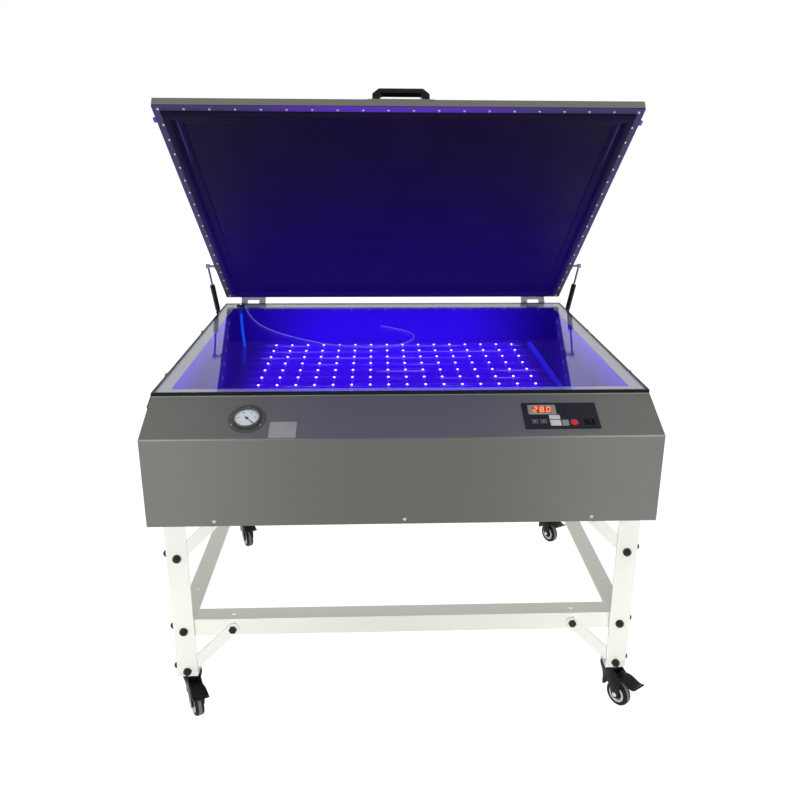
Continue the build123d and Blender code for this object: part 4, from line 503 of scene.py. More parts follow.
@dataclass(frozen=True)
class LitBar(LitTray):
    """Aluminium lamp bar with painted highlights on broken stretches of its edges, and a painted
    streak of light along the channel at the right of the tray.

    rim is how far from the bar's middle its edge highlight begins and is full, and channel is the
    painted streak's near side, beyond the outer lamps, with its ends along the tray.
    """

    rim: tuple[float, float] = (0.0082, 0.0094)
    rim_glow: Colour = (0.42, 0.28, 1.0)
    channel: tuple[float, float] = (0.058, 0.061)
    channel_ends: tuple[float, float] = (-0.30, 0.42)
    channel_glow: Colour = (0.03, 0.02, 1.0)

    def build(self, graph: Graph) -> bpy.types.Material:
        """Build the nodes."""
        level = self.field(graph)
        x, y, _ = graph.axes()
        from_row = y.repeat(self.pitch_y, self.centre_y + self.pitch_y / 2)
        # painted highlight on broken stretches of the bar edges, and below it a painted streak of
        # light in the channel
        rim = from_row.within(*self.rim)
        broken = graph.noise(26.0, 3.0, (0.22, 5.0, 1.0)).within(0.48, 0.66)
        on_bars = x.size().within(self.half_x + 0.04, self.half_x + 0.02)
        lit = graph.blend(level, self.deep, self.bright)
        edge = graph.blend(rim * broken * on_bars * 0.75, lit, self.rim_glow)
        near, full = self.channel
        channel = x.within(self.half_x + near, self.half_x + full) * y.within(*self.channel_ends)
        streak = graph.blend(channel * 0.9, edge, self.channel_glow)
        return graph.principled(Base_Color=self.metal, Metallic=1.0, Roughness=0.3,
                                Emission_Color=streak, Emission_Strength=self.strength)


GREY: Colour = (0.178, 0.180, 0.165)
CREAM: Colour = (0.91, 0.915, 0.84)


class Paint(Enum):
    """The finishes that several sub-assemblies share."""

    # The panel has painted highlights along its crease and under the top trim, painted shade in the
    # middle of its front, and painted shade with a violet tint in the middle of its slope.
    PANEL = LitPanel(
        "panel_grey", GREY, highlight_folds=((0.744, 0.0012, 3.0), (0.8035, 0.0012, 2.6)), washes=(
            Wash((-0.61, -0.5460, 0.520), (0.61, -0.5436, 0.7450), tone=shade(GREY, 0.84),
                 side=0.0, reach=(0.12, 0.55)),
            Wash((-0.61, -0.5436, 0.740), (0.61, -0.4100, 0.8025), tone=(0.138, 0.128, 0.192),
                 side=0.0, reach=(0.10, 0.55))))
    GAUGE = PowderCoat("gauge_grey", (0.085, 0.085, 0.08), 0.35)
    LID = PowderCoat("lid_grey_coat", (0.205, 0.205, 0.190), 0.38)
    # The clamp strips carry painted lamp light: a faint violet glow all over, and a brighter one
    # over a darker tone in the middle of the top strip; near the hinge they are darker.
    STRIP = LitPanel("strip_violet", (0.080, 0.072, 0.105), 0.45, gloss=0.08, washes=(
        Wash((-0.61, -0.60, 0.80), (0.61, 0.40, 1.48), (0.010, 0.004, 0.040)),
        Wash((-0.61, -0.60, 1.44), (0.61, 0.40, 1.48), (0.070, 0.008, 0.400), (0.065, 0.058, 0.095),
             side=0.08, reach=(0.08, 0.45)),
        Wash((-0.61, 0.40, 0.80), (0.61, 0.60, 0.86), (0.0, 0.0, 0.01), (0.010, 0.009, 0.016))))
    # The upper side fittings carry painted lamp light: a violet glow over a violet tone.
    SIDE_FITTING = LitPanel("side_fitting", (0.20, 0.20, 0.23), 0.42, washes=(
        Wash((-0.63, -0.60, 1.36), (0.63, 0.40, 1.48), (0.035, 0.010, 0.330),
             (0.040, 0.020, 0.200), 0.1),))
    CREAM = PowderCoat("stand_cream", CREAM, 0.40, 0.03)
    PLAIN_STEEL = BareMetal("plain_sheet", (0.50, 0.51, 0.53), 0.38, (6.0, 1.0, 1.0))
    HINGE = PowderCoat("hinge_plate", (0.56, 0.56, 0.61), 0.35)
    ZINC = BareMetal("zinc_plate", (0.66, 0.66, 0.63), 0.30)
    ROD = BareMetal("rod_chrome", (0.20, 0.20, 0.28), 0.16, (1.0, 1.0, 1.0), 0.03)
    CAST = BareMetal("cast_alloy", (0.42, 0.43, 0.45), 0.5)
    OXIDE = Moulding("black_oxide", (0.012, 0.012, 0.012), 0.30, 0.00004, gloss=0.20)
    STRUT_BLACK = Moulding("strut_black_coat", (0.007, 0.007, 0.008), 0.32, gloss=0.10)
    BLACK = Moulding("black_moulding", (0.006, 0.006, 0.007), 0.36, gloss=0.10)
    FACE = Moulding("panel_face", (0.013, 0.013, 0.026), 0.30, gloss=0.12)
    POCKET = Moulding("pocket_black", (0.006, 0.006, 0.006), 0.55, gloss=0.15)
    DARK_KEY = Moulding("dark_key", (0.045, 0.048, 0.060), 0.45, gloss=0.2)
    WHITE_KEY = Moulding("white_key", (0.84, 0.84, 0.88), 0.45)
    GREY_KEY = Moulding("grey_key", (0.34, 0.35, 0.36), 0.45)
    # The start key glows faintly with painted light.
    RED_KEY = Moulding("red_key", (0.62, 0.02, 0.02), 0.40, 0.00002, 0.12)
    LABEL = Moulding("label_foil", (0.44, 0.44, 0.455), 0.40, 0.00005)
    # The hose, its stem and the cord glow with painted lamp light.
    HOSE = Moulding("blue_hose", (0.0, 0.10, 0.95), 0.22, 0.00001, 0.75)
    STEM = Moulding("blue_stem", (0.0, 0.03, 0.35), 0.22, 0.00001, 0.6)
    CORD = Moulding("pale_cord", (0.34, 0.27, 0.80), 0.5, 0.00005, 0.04, 0.55)
    BLANKET = RubberSkin("blanket_rubber", (0.0065, 0.0045, 0.018), 0.55, 0.06,
                         (0.004, 0.002, 0.009), (0.004, 0.0, 0.080), fold=0.5500, lit_under=0.8268)
    KNURL = BareMetal("knurled_steel", (0.26, 0.26, 0.25), 0.35)
    TRIM = RubberSkin("edge_rubber", (0.008, 0.008, 0.010), 0.34, 0.12)
    TREAD = RubberSkin("tread_rubber", (0.009, 0.009, 0.010), 0.5, 0.15)
    # A painted highlight round the middle of the tread.
    TREAD_HIGHLIGHT = Moulding("tread_highlight", (0.16, 0.16, 0.17), 0.55)
    HUB = Moulding("hub_ring", (0.72, 0.73, 0.74), 0.35)
    # The port's mouth glows with painted light from the tray below.
    MOUTH = Moulding("port_mouth", (0.90, 0.88, 1.0), 0.30, glow=0.5)
    PANE = ClearPane("float_glass")
    # The dial glows faintly with painted light.
    DIAL = Moulding("dial_white", (0.70, 0.70, 0.77), 0.5, glow=0.16)
    INK = Moulding("dial_ink", (0.02, 0.02, 0.035), 0.6)
    SEGMENT = Lamp("lit_segment", (1.0, 0.18, 0.06), 1.9)
    # The display window glows with painted red light.
    WINDOW = Moulding("red_window", (0.16, 0.006, 0.006), 0.15, glow=0.9)
    LENS = Lamp("lit_lens", (0.95, 0.70, 1.0), 2.6)
    # Bright metal along the bezel's lower arc is a painted highlight.
    BEZEL = LitPanel("bezel_dark", (0.060, 0.060, 0.062), 0.25, washes=(
        Wash((-0.42, -0.60, 0.7300), (-0.31, -0.40, 0.7490), tone=(0.95, 0.95, 0.95), metal=0.95),))

    def give(self, *nodes: str) -> None:
        """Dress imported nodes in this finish."""
        self.value.dress(*nodes)

    @property
    def material(self) -> bpy.types.Material:
        """The finish's material."""
        return self.value.material()


# ------------------------------------------------------------------ meshes
def show(name: str, data: bpy.types.ID) -> bpy.types.Object:
    """Stand new data in the scene as an object."""
    made = bpy.data.objects.new(name, data)
    bpy.context.scene.collection.objects.link(made)
    return made


def facet(made: bpy.types.Object, sharper_than: float) -> bpy.types.Object:
    """Shade a mesh smooth but for the edges that turn by more than an angle in degrees."""
    for polygon in made.data.polygons:
        polygon.use_smooth = True
    made.data.set_sharp_from_angle(angle=math.radians(sharper_than))
    LOG.info("%s: %d faces", made.name, len(made.data.polygons))
    return made


def bake(source: bpy.types.Object) -> bpy.types.Mesh:
    """The plain mesh that an object comes to, in place of the object."""
    graph = bpy.context.evaluated_depsgraph_get()
    data = bpy.data.meshes.new_from_object(source.evaluated_get(graph))
    bpy.data.objects.remove(source)
    return data


class Shape:
    """A mesh under construction, in the shared frame."""

    def __init__(self) -> None:
        """Start with nothing."""
        self.mesh = bmesh.new()

    def ring(self, points: Iterable[Vector]) -> list[bmesh.types.BMVert]:
        """Add a loop of vertices."""
        return [self.mesh.verts.new(point) for point in points]

    def bridge(self, first: Sequence, second: Sequence) -> None:
        """Join two loops with faces; either may be a single point."""
        count = max(len(first), len(second))
        for index in range(count):
            following = (index + 1) % count
            corners = [first[index % len(first)], first[following % len(first)],
                       second[following % len(second)], second[index % len(second)]]
            unique = list(dict.fromkeys(corners))
            if len(unique) > 2:
                self.mesh.faces.new(unique)

    def revolve(self, profile: Sequence[tuple[float, float]], place: Matrix,
                segments: int = 32, hoop: bool = False) -> "Shape":
        """Turn a profile of (radius, height) about the place's z axis.

        Args:
            profile: points from one end to the other; a radius of 0 closes an end in a point.
            place: where the axis stands.
            segments: sides of the round.
            hoop: whether the profile is a closed loop that makes a ring.
        Returns:
            This shape.
        """
        rings = []
        for radius, height in profile:
            count = segments if radius > 1e-7 else 1
            angles = (math.tau * step / segments for step in range(count))
            rings.append(self.ring(
                place @ Vector((radius * math.cos(angle), radius * math.sin(angle), height))
                for angle in angles))
        for first, second in zip(rings, rings[1:]):
            self.bridge(first, second)
        if hoop:
            self.bridge(rings[-1], rings[0])
            return self
        for end in (rings[0], rings[-1]):
            if len(end) > 2:
                self.mesh.faces.new(end)
        return self

    def loft(self, sections: Sequence[Sequence[Vector]]) -> "Shape":
        """Join loops of equal length in order and cap both ends."""
        rings = [self.ring(section) for section in sections]
        for first, second in zip(rings, rings[1:]):
            self.bridge(first, second)
        self.mesh.faces.new(rings[0])
        self.mesh.faces.new(rings[-1])
        return self

    def prism(self, outline: Sequence[tuple[float, float]], low: float, high: float,
              place: Matrix) -> "Shape":
        """Extrude a flat outline along the place's z axis from low to high."""
        bottom = self.ring(place @ Vector((x, y, low)) for x, y in outline)
        top = self.ring(place @ Vector((x, y, high)) for x, y in outline)
        self.bridge(bottom, top)
        self.mesh.faces.new(bottom)
        self.mesh.faces.new(top)
        return self

    def block(self, low: Point, high: Point, place: Matrix) -> "Shape":
        """Add a box."""
        outline = [(low[0], low[1]), (high[0], low[1]), (high[0], high[1]), (low[0], high[1])]
        return self.prism(outline, low[2], high[2], place)

    def soften(self, width: float, segments: int = 2, sharper_than: float = 30.0) -> "Shape":
        """Round every edge that turns by more than an angle."""
        self.tidy()
        limit = math.radians(sharper_than)
        edges = [edge for edge in self.mesh.edges
                 if len(edge.link_faces) == 2 and edge.calc_face_angle(0.0) > limit]
        bmesh.ops.bevel(self.mesh, geom=edges, offset=width, segments=segments, profile=0.5,
                        affect="EDGES", clamp_overlap=True)
        return self

    def tidy(self) -> None:
        """Merge doubles and point the faces outwards."""
        bmesh.ops.remove_doubles(self.mesh, verts=self.mesh.verts, dist=1e-6)
        bmesh.ops.recalc_face_normals(self.mesh, faces=self.mesh.faces)

    def piece(self, name: str, paint: Paint, smooth: float = 35.0) -> bpy.types.Object:
        """Finish the mesh as an object.

        Args:
            name: the piece's name.
            paint: its finish.
            smooth: angle in degrees above which an edge stays sharp.
        Returns:
            The object, with its place in its mesh.
        """
        self.tidy()
        data = bpy.data.meshes.new(name)
        self.mesh.to_mesh(data)
        self.mesh.free()
        data.materials.append(paint.material)
        return facet(show(name, data), smooth)


def stand_at(origin: Vector, z_axis: Vector, x_axis: Vector) -> Matrix:
    """A place from its origin, its z axis and its x axis, which is squared to the z axis."""
    z_unit = z_axis.normalized()
    x_unit = (x_axis - z_unit * x_axis.dot(z_unit)).normalized()
    turn = Matrix((x_unit, z_unit.cross(x_unit), z_unit)).transposed().to_4x4()
    return Matrix.Translation(origin) @ turn


def mirrored(half: Sequence[tuple[float, float]]) -> list[tuple[float, float]]:
    """A profile of (radius, height), from one end to the middle, with its mirror image."""
    return [*half, *((radius, -height) for radius, height in reversed(half))]


def rounded_loop(half_x: float, half_y: float, radius: float, steps: int = 8,
                 tighter: float = 0.0) -> list[tuple[float, float]]:
    """Corners of a rounded rectangle about the origin, the two at -y tighter by an amount."""
    points = []
    for quarter, (sx, sy) in enumerate(((1, 1), (-1, 1), (-1, -1), (1, -1))):
        if quarter == 2:
            radius = max(0.0006, radius - tighter)
        for step in range(steps + 1):
            angle = math.pi / 2 * (quarter + step / steps)
            points.append((sx * (half_x - radius) + radius * math.cos(angle),
                           sy * (half_y - radius) + radius * math.sin(angle)))
    return points


# ------------------------------------------------------------------ repeated pieces
class GeometryTree:
    """A geometry node tree with named inputs, and the way to turn its result into a mesh."""

    sharper_than = 40.0

    def __init__(self, name: str) -> None:
        """Make the tree with its group input and output."""
        self.tree = bpy.data.node_groups.new(name, "GeometryNodeTree")
        self.tree.interface.new_socket("Result", in_out="OUTPUT", socket_type="NodeSocketGeometry")
        self.keys: dict[str, str] = {}
        self.start = self.tree.nodes.new("NodeGroupInput")
        self.end = self.tree.nodes.new("NodeGroupOutput")

    def input(self, name: str, kind: str) -> None:
        """Add a named input."""
        socket = self.tree.interface.new_socket(name, in_out="INPUT",
                                                socket_type="NodeSocket" + kind)
        self.keys[name] = socket.identifier

    def node(self, kind: str, settings: Optional[dict] = None,
             sockets: Optional[dict] = None) -> bpy.types.Node:
        """Add a node; a text value in sockets names one of the tree's inputs."""
        made = self.tree.nodes.new(kind)
        for key, value in (settings or {}).items():
            setattr(made, key, value)
        for key, value in (sockets or {}).items():
            if isinstance(value, str):
                self.tree.links.new(self.start.outputs[value], made.inputs[key])
            elif isinstance(value, bpy.types.NodeSocket):
                self.tree.links.new(value, made.inputs[key])
            else:
                made.inputs[key].default_value = value
        return made

    def finish(self, points: bpy.types.NodeSocket, rotation: object) -> None:
        """Put the shape on each point, make it real and give it its material."""
        shape = self.node("GeometryNodeObjectInfo", {}, {"Object": "Shape"})
        sockets = {"Points": points, "Instance": shape.outputs["Geometry"]}
        if rotation is not None:
            sockets["Rotation"] = rotation
        copies = self.node("GeometryNodeInstanceOnPoints", {}, sockets)
        real = self.node("GeometryNodeRealizeInstances", {}, {0: copies.outputs[0]})
        dressed = self.node("GeometryNodeSetMaterial", {}, {0: real.outputs[0],
                                                            "Material": "Finish"})
        self.tree.links.new(dressed.outputs[0], self.end.inputs[0])

    def make(self, name: str, shape: bpy.types.Object, paint: Paint, place: Matrix,
             **values: float) -> bpy.types.Object:
        """Run the tree once.

        Args:
            name: the new piece's name.
            shape: the object that is repeated, left in place.
            paint: the finish of the copies.
            place: where the pattern's own frame stands.
            values: the tree's other inputs by name, with underscores for spaces.
        Returns:
            A plain mesh object.
        """
        host = show(name + "_host", bpy.data.meshes.new(name + "_host"))
        modifier = host.modifiers.new("pattern", "NODES")
        modifier.node_group = self.tree
        modifier[self.keys["Shape"]] = shape
        modifier[self.keys["Finish"]] = paint.material
        for key, value in values.items():
            modifier[self.keys[key.replace("_", " ")]] = value
        data = bake(host)
        data.name = name
        data.transform(place)
        return facet(show(name, data), self.sharper_than)


class GridTree(GeometryTree):
    """Copies of a shape on a flat grid."""

    def __init__(self) -> None:
        """Build the tree."""
        super().__init__("grid_of_shapes")
        for name, kind in (("Shape", "Object"), ("Finish", "Material"), ("Width", "Float"),
                           ("Depth", "Float"), ("Columns", "Int"), ("Rows", "Int")):
            self.input(name, kind)
        grid = self.node("GeometryNodeMeshGrid", {}, {"Size X": "Width", "Size Y": "Depth",
                                                      "Vertices X": "Columns",
                                                      "Vertices Y": "Rows"})
        self.finish(grid.outputs["Mesh"], None)


class ArcTree(GeometryTree):
    """Copies of a shape round an arc, each turned to face outwards."""

    def __init__(self) -> None:
        """Build the tree."""
        super().__init__("arc_of_shapes")
        for name, kind in (("Shape", "Object"), ("Finish", "Material"), ("Radius", "Float"),
                           ("Start", "Float"), ("Sweep", "Float"), ("Count", "Int")):
            self.input(name, kind)
        arc = self.node("GeometryNodeCurveArc", {}, {"Resolution": "Count", "Radius": "Radius",
                                                     "Start Angle": "Start",
                                                     "Sweep Angle": "Sweep"})
        points = self.node("GeometryNodeCurveToPoints", {"mode": "EVALUATED"},
                           {"Curve": arc.outputs[0]})
        place = self.node("GeometryNodeInputPosition")
        facing = self.node("FunctionNodeAlignRotationToVector", {"axis": "X"},
                           {"Vector": place.outputs[0]})
        self.finish(points.outputs["Points"], facing.outputs[0])


def join(name: str, parts: Sequence[bpy.types.Object]) -> bpy.types.Object:
    """Join several plain meshes that share one finish into the first, and rename it."""
    mesh = bmesh.new()
    for part in parts:
        mesh.from_mesh(part.data)
    first = parts[0]
    mesh.to_mesh(first.data)
    mesh.free()
    for part in parts[1:]:
        bpy.data.objects.remove(part)
    first.name = name
    first.data.name = name
    return first


GRID = GridTree()
ARC = ArcTree()
SIDEWAYS = stand_at(Vector(), RIGHT, REAR)


def settle(piece: bpy.types.Object, body: str, slot: str, *replaced: str) -> bpy.types.Object:
    """Let a finished piece ride on a body, and hide the nodes that it stands for."""
    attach(piece, body)
    if replaced:
        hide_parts(*replaced)
    return piece


def discard(*objects: bpy.types.Object) -> None:
    """Remove the source shapes of patterns."""
    for item in objects:
        bpy.data.objects.remove(item)


def pan_head(radius: float, height: float = 0.0016) -> bpy.types.Object:
    """A domed screw head on the plane z = 0, hollowed in its middle."""
    shape = Shape().revolve([(0.0, height * 0.55), (radius * 0.30, height * 0.62),
                             (radius * 0.42, height), (radius * 0.74, height * 0.86),
                             (radius * 0.95, height * 0.45), (radius, 0.0)], Matrix(), 14)
    return shape.piece("pan_head_source", Paint.ZINC)


# ------------------------------------------------------------------ frame places
class Layout:
    """Places that several sub-assemblies share, read from the frame."""

    def __init__(self) -> None:
        """Read the slope, the lid hinge and the deck."""
        deck_low, deck_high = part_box("deck_frame")
        panel_low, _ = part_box("cabinet_front_panel")
        glass_low, glass_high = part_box("exposure_glass")
        self.glass_top = glass_high.z
        self.deck_top = glass_low.z
        self.deck_front = deck_low.y
        self.half_width = deck_high.x
        run = self.deck_front - panel_low.y
        up_slope = Vector((0.0, run, run * SLOPE_RISE)).normalized()
        self.slope_normal = RIGHT.cross(up_slope)
        self.slope_origin = Vector((0.0, self.deck_front, self.deck_top))
        self.joints = {joint["name"]: joint for joint in frame["joints"]}
        hinge = self.joints["lid_hinge"]
        self.pin = Vector(hinge["pos_m"])
        self.lid_angle = math.radians(hinge["range_deg"][1])
        turn = Matrix.Rotation(-self.lid_angle, 4, "X")
        self.lid = Matrix.Translation(self.pin) @ turn @ Matrix.Translation(-self.pin)

    def closed_height(self, graph: Graph) -> Value:
        """How high a point of the open lid lies once the lid is closed."""
        _, back, up = graph.axes()
        sine, cosine = math.sin(self.lid_angle), math.cos(self.lid_angle)
        return (back - self.pin.y) * sine + (up - self.pin.z) * cosine + self.pin.z

    def slope(self, across: float, down: float, out: float = 0.0) -> Matrix:
        """A place on the slope: x to the right, y up the slope, z out of its face."""
        base = stand_at(self.slope_origin, self.slope_normal, RIGHT)
        return base @ Matrix.Translation((across, -down, out))


LAYOUT = Layout()


# ------------------------------------------------------------------ cords
@dataclass
class FreeLine:
    """A cord or hose that lies as it was left, on one smooth line."""

    name: str
    paint: Paint
    slot_name: str
    diameter: float
    length: float
    far_end: str
    stiffness: str
    route: tuple[Point, ...]

    def build(self) -> None:
        curve = bpy.data.curves.new(self.name, "CURVE")
        curve.dimensions = "3D"
        curve.bevel_depth = self.diameter / 2
        curve.bevel_resolution = 4
        curve.use_fill_caps = True
        spline = curve.splines.new("NURBS")
        spline.points.add(len(self.route) - 1)
        for point, place in zip(spline.points, self.route):
            point.co = (*place, 1.0)
        spline.order_u = 3
        spline.use_endpoint_u = True
        spline.resolution_u = 10
        curve.materials.append(self.paint.material)
        line = show(self.name, curve)
        settle(line, CABINET, self.slot_name, self.name.removesuffix("_line"))
        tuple(self.route[0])
        LOG.info("%s: %.3f m", self.name, self.length)


BLEEDER_CORD = FreeLine(
    "bleeder_cord_line", Paint.CORD, "cord_sleeve", 0.0035, 1.1132, "bare", "limp",
    ((-0.526, 0.509, 0.81405), (-0.512, 0.462, 0.81405), (-0.499, 0.411, 0.81405),
     (-0.483, 0.360, 0.81405), (-0.465, 0.309, 0.81405), (-0.444, 0.259, 0.81405),
     (-0.418, 0.210, 0.81405), (-0.387, 0.164, 0.81405), (-0.351, 0.121, 0.81405),
     (-0.311, 0.082, 0.81405), (-0.268, 0.046, 0.81405), (-0.224, 0.013, 0.81405),
     (-0.176, -0.011, 0.81405), (-0.123, -0.025, 0.81405), (-0.069, -0.031, 0.81405),
     (-0.016, -0.019, 0.81405), (0.024, 0.017, 0.81405), (0.049, 0.065, 0.81405),
     (0.050, 0.116, 0.81405), (0.021, 0.158, 0.81405), (-0.016, 0.194, 0.81405),
     (-0.050, 0.219, 0.81405)))
SUCTION_HOSE = FreeLine(
    "vacuum_hose_line", Paint.HOSE, "blue_hose", 0.010, 0.1397, "object", "stiff",
    ((-0.541, 0.515, 0.780), (-0.541, 0.515, 0.74412), (-0.53764, 0.50716, 0.70962),
     (-0.533, 0.501, 0.67788), (-0.533, 0.501, 0.642)))


# ------------------------------------------------------------------ cabinet
@dataclass
class Cabinet:
    """Sheet cabinet, stand, light tray and what is bolted to them."""

    lamp_columns: int = 16
    lamp_rows: int = 12
    lamp_pitch: tuple[float, float] = (0.056, 0.0742)
    lamp_centre_y: float = 0.087
    lamp_radius: float = 0.004
    lamp_height: float = 0.003
    front_screw_spacing: float = 0.444
    front_screw_rise: float = 0.012
    thumbscrew_y: tuple[float, ...] = (-0.220, 0.222)
    thumbscrew_z: float = 0.794
    tray_top: float = 0.6665
    rear_wall: float = 0.5570
    bolt_levels: tuple[float, ...] = (0.124, 0.240, 0.442)
    bolt_inset: float = 0.025

    def dress(self) -> None:
        """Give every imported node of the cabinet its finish."""
        edge, wall = LAYOUT.half_width + 0.001, self.rear_wall
        front, low, high = LAYOUT.deck_front + 0.002, self.tray_top, LAYOUT.deck_top - 0.0015
        # Inside the cabinet the walls, flange and deck rim carry painted lamp light: violet glows,
        # and violet painted tones, most of them metallic, over the grey paint.
        metal_and_falloff = {"metal": 0.92, "foot": 0.30}
        inner = (-edge, front, low)
        side = Wash(inner, (edge, wall - 0.0004, high), (0.050, 0.0, 0.62), (0.018, 0.0, 0.22),
                    **metal_and_falloff)
        rear = Wash((-edge, wall, low), (edge, wall + 0.0020, high), (0.025, 0.0, 0.95),
                    (0.010, 0.0, 0.20), 0.05, side=0.12, reach=(0.20, 0.60))
        LitPanel("walls_lit", GREY, washes=(side, rear)).dress("cabinet_sides_and_rear")
        flange = Wash(inner, (edge, wall + 0.0020, high), (0.010, 0.002, 0.20),
                      (0.004, 0.001, 0.07), **metal_and_falloff)
        rim, top = (-edge, front - 0.003, high + 0.001), LAYOUT.deck_top + 0.0005
        around = Wash(rim, (edge, wall + 0.0050, top), (0.012, 0.003, 0.050))
        ahead = Wash(rim, (edge, -0.2800, top), (0.030, 0.0, 0.800), side=0.06,
                     reach=(0.15, 0.55))
        deck = LitPanel("deck_lit", (0.34, 0.34, 0.34), 0.35, washes=(flange, around, ahead))
        deck.dress("deck_frame")
        Paint.PANEL.give("cabinet_front_panel", "cabinet_floor_pan")
        Paint.CREAM.give("stand_legs", "stand_rails", "stand_braces")
        Paint.PLAIN_STEEL.give("side_brackets")
        Paint.HINGE.give("hinge_base_leaves")
        Paint.OXIDE.give("stand_bolts")
        Paint.PANE.give("exposure_glass")
        Paint.TRIM.give("glass_edge_trim")
        Paint.CAST.give("vacuum_pump")
        Paint.BLACK.give("led_drivers", "power_inlet", "vacuum_port", "bleeder_cord", "vacuum_hose",
                         "led_lenses", "cabinet_screws")
        Paint.LABEL.give("label_plate")
        half_x = (self.lamp_columns - 1) / 2 * self.lamp_pitch[0]
        half_y = (self.lamp_rows - 1) / 2 * self.lamp_pitch[1]
        lamps = (*self.lamp_pitch, self.lamp_centre_y, half_x, half_y)
        LitTray("tray_reflector_lit", *lamps).dress("led_tray")
        LitBar("lamp_bar_lit", *lamps).dress("led_bars")

    def lamps(self) -> None:
        """Domed lenses on their bars."""
        radius, height = self.lamp_radius, self.lamp_height
        dome = Shape().revolve([(0.0, height), (radius * 0.55, height * 0.88),
                                (radius * 0.9, height * 0.5), (radius, 0.0)], Matrix(), 10)
        source = dome.piece("lamp_source", Paint.LENS)
        base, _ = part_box("led_lenses")
        place = Matrix.Translation((0.0, self.lamp_centre_y, base.z))
        lamps = GRID.make("lamp_domes", source, Paint.LENS, place,
                          Width=(self.lamp_columns - 1) * self.lamp_pitch[0],
                          Depth=(self.lamp_rows - 1) * self.lamp_pitch[1],
                          Columns=self.lamp_columns, Rows=self.lamp_rows)
        discard(source)
        settle(lamps, CABINET, "led_lens", "led_lenses")

    def pane(self) -> None:
        """Polished glass plate with eased edges, a hair above the deck it lies on."""
        low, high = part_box("exposure_glass")
        middle = (low + high) / 2
        half_x, half_y = (high.x - low.x) / 2, (high.y - low.y) / 2
        lift, ease = 0.0002, 0.0008
        place = Matrix.Translation((middle.x, middle.y, 0.0))
        foot = low.z + lift
        sections = []
        for inset, z in ((ease, foot), (0.0, foot + ease), (0.0, high.z - ease), (ease, high.z)):
            outline = rounded_loop(half_x - inset, half_y - inset, 0.003, 4)
            sections.append([place @ Vector((x, y, z)) for x, y in outline])
        settle(Shape().loft(sections).piece("glass_pane", Paint.PANE, 20.0), CABINET,
               "float_glass", "exposure_glass")

    def suction_port(self) -> None:
        """Stepped suction fitting on the glass, with its mouth glowing with painted light from the
        tray below.
        """
        low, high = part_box("vacuum_port")
        centre = Vector(((low.x + high.x) / 2, (low.y + high.y) / 2, LAYOUT.glass_top))
        rise = high.z - LAYOUT.glass_top
        radius = 0.014
        stepped = [(0.0035, 0.0), (radius, 0.0), (radius, rise * 0.55), (radius * 0.93, rise * 0.8),
                   (radius * 0.78, rise), (radius * 0.5, rise), (radius * 0.42, rise * 0.7),
                   (0.0035, rise * 0.6)]
        ring = Shape().revolve(stepped, Matrix.Translation(centre), 36, True)
        settle(ring.piece("suction_port", Paint.BLACK), CABINET, "black_plastic", "vacuum_port")
        drop = LAYOUT.glass_top - low.z
        stem = Shape().revolve([(0.003, 0.0), (0.006, 0.0), (0.006, -drop + 0.001), (0.0052, -drop),
                                (0.003, -drop)], Matrix.Translation(centre), 24, True)
        below = Matrix.Translation((centre.x, centre.y, LAYOUT.deck_top - 0.002))
        stem.revolve([(0.006, 0.0), (0.0100, 0.0), (0.0110, -0.001), (0.0110, -0.005),
                      (0.0100, -0.006), (0.006, -0.006)], below, 6, True)
        settle(stem.piece("suction_stem", Paint.STEM), CABINET, "blue_hose")
        mouth = Shape().revolve([(0.0, rise * 1.0), (0.0030, rise * 1.0), (0.0046, rise * 0.94),
                                 (0.0050, rise * 0.72), (0.0, rise * 0.70)],
                                Matrix.Translation(centre), 28)
        settle(mouth.piece("suction_mouth", Paint.MOUTH), CABINET, "zinc_steel")

    def fasteners(self) -> None:
        """Front skirt screws and knurled side thumbscrews."""
        panel_low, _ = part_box("cabinet_front_panel")
        spot = Vector((0.0, panel_low.y, panel_low.z + self.front_screw_rise))
        source = pan_head(0.0042)
        skirt = GRID.make("skirt_screws", source, Paint.ZINC, stand_at(spot, FRONT, RIGHT),
                          Width=2 * self.front_screw_spacing, Depth=0.0, Columns=3, Rows=1)
        discard(source)
        settle(skirt, CABINET, "zinc_steel", "cabinet_screws")
        for side in (-1, 1):
            for y in self.thumbscrew_y:
                self.thumbscrew(side, y)

    def thumbscrew(self, side: int, y: float) -> None:
        """One knurled thumbscrew standing out of a side wall."""
        tag = f"{'right' if side > 0 else 'left'}_{'rear' if y > 0 else 'front'}"
        spot = Vector((side * LAYOUT.half_width, y, self.thumbscrew_z))
        place = stand_at(spot, RIGHT * side, REAR)
        body = Shape().revolve([(0.0, 0.020), (0.0046, 0.0198), (0.0058, 0.0188),
                                (0.0060, 0.0100), (0.0088, 0.0092), (0.0097, 0.0082),
                                (0.0097, 0.0012), (0.0088, 0.0004), (0.0, 0.0004)], place, 32)
        settle(body.piece("thumbscrew_" + tag, Paint.KNURL), CABINET, "zinc_steel")
        rib = Shape().block((-0.0004, -0.0003, -0.0036), (0.0004, 0.0003, 0.0036), Matrix())
        rib = rib.piece("rib", Paint.KNURL)
        ring = ARC.make("thumbscrew_ribs_" + tag, rib, Paint.KNURL,
                        place @ Matrix.Translation((0, 0, 0.0048)),
                        Radius=0.0097, Start=0.0, Sweep=math.tau * 31 / 32, Count=32)
        discard(rib)
        settle(ring, CABINET, "zinc_steel")

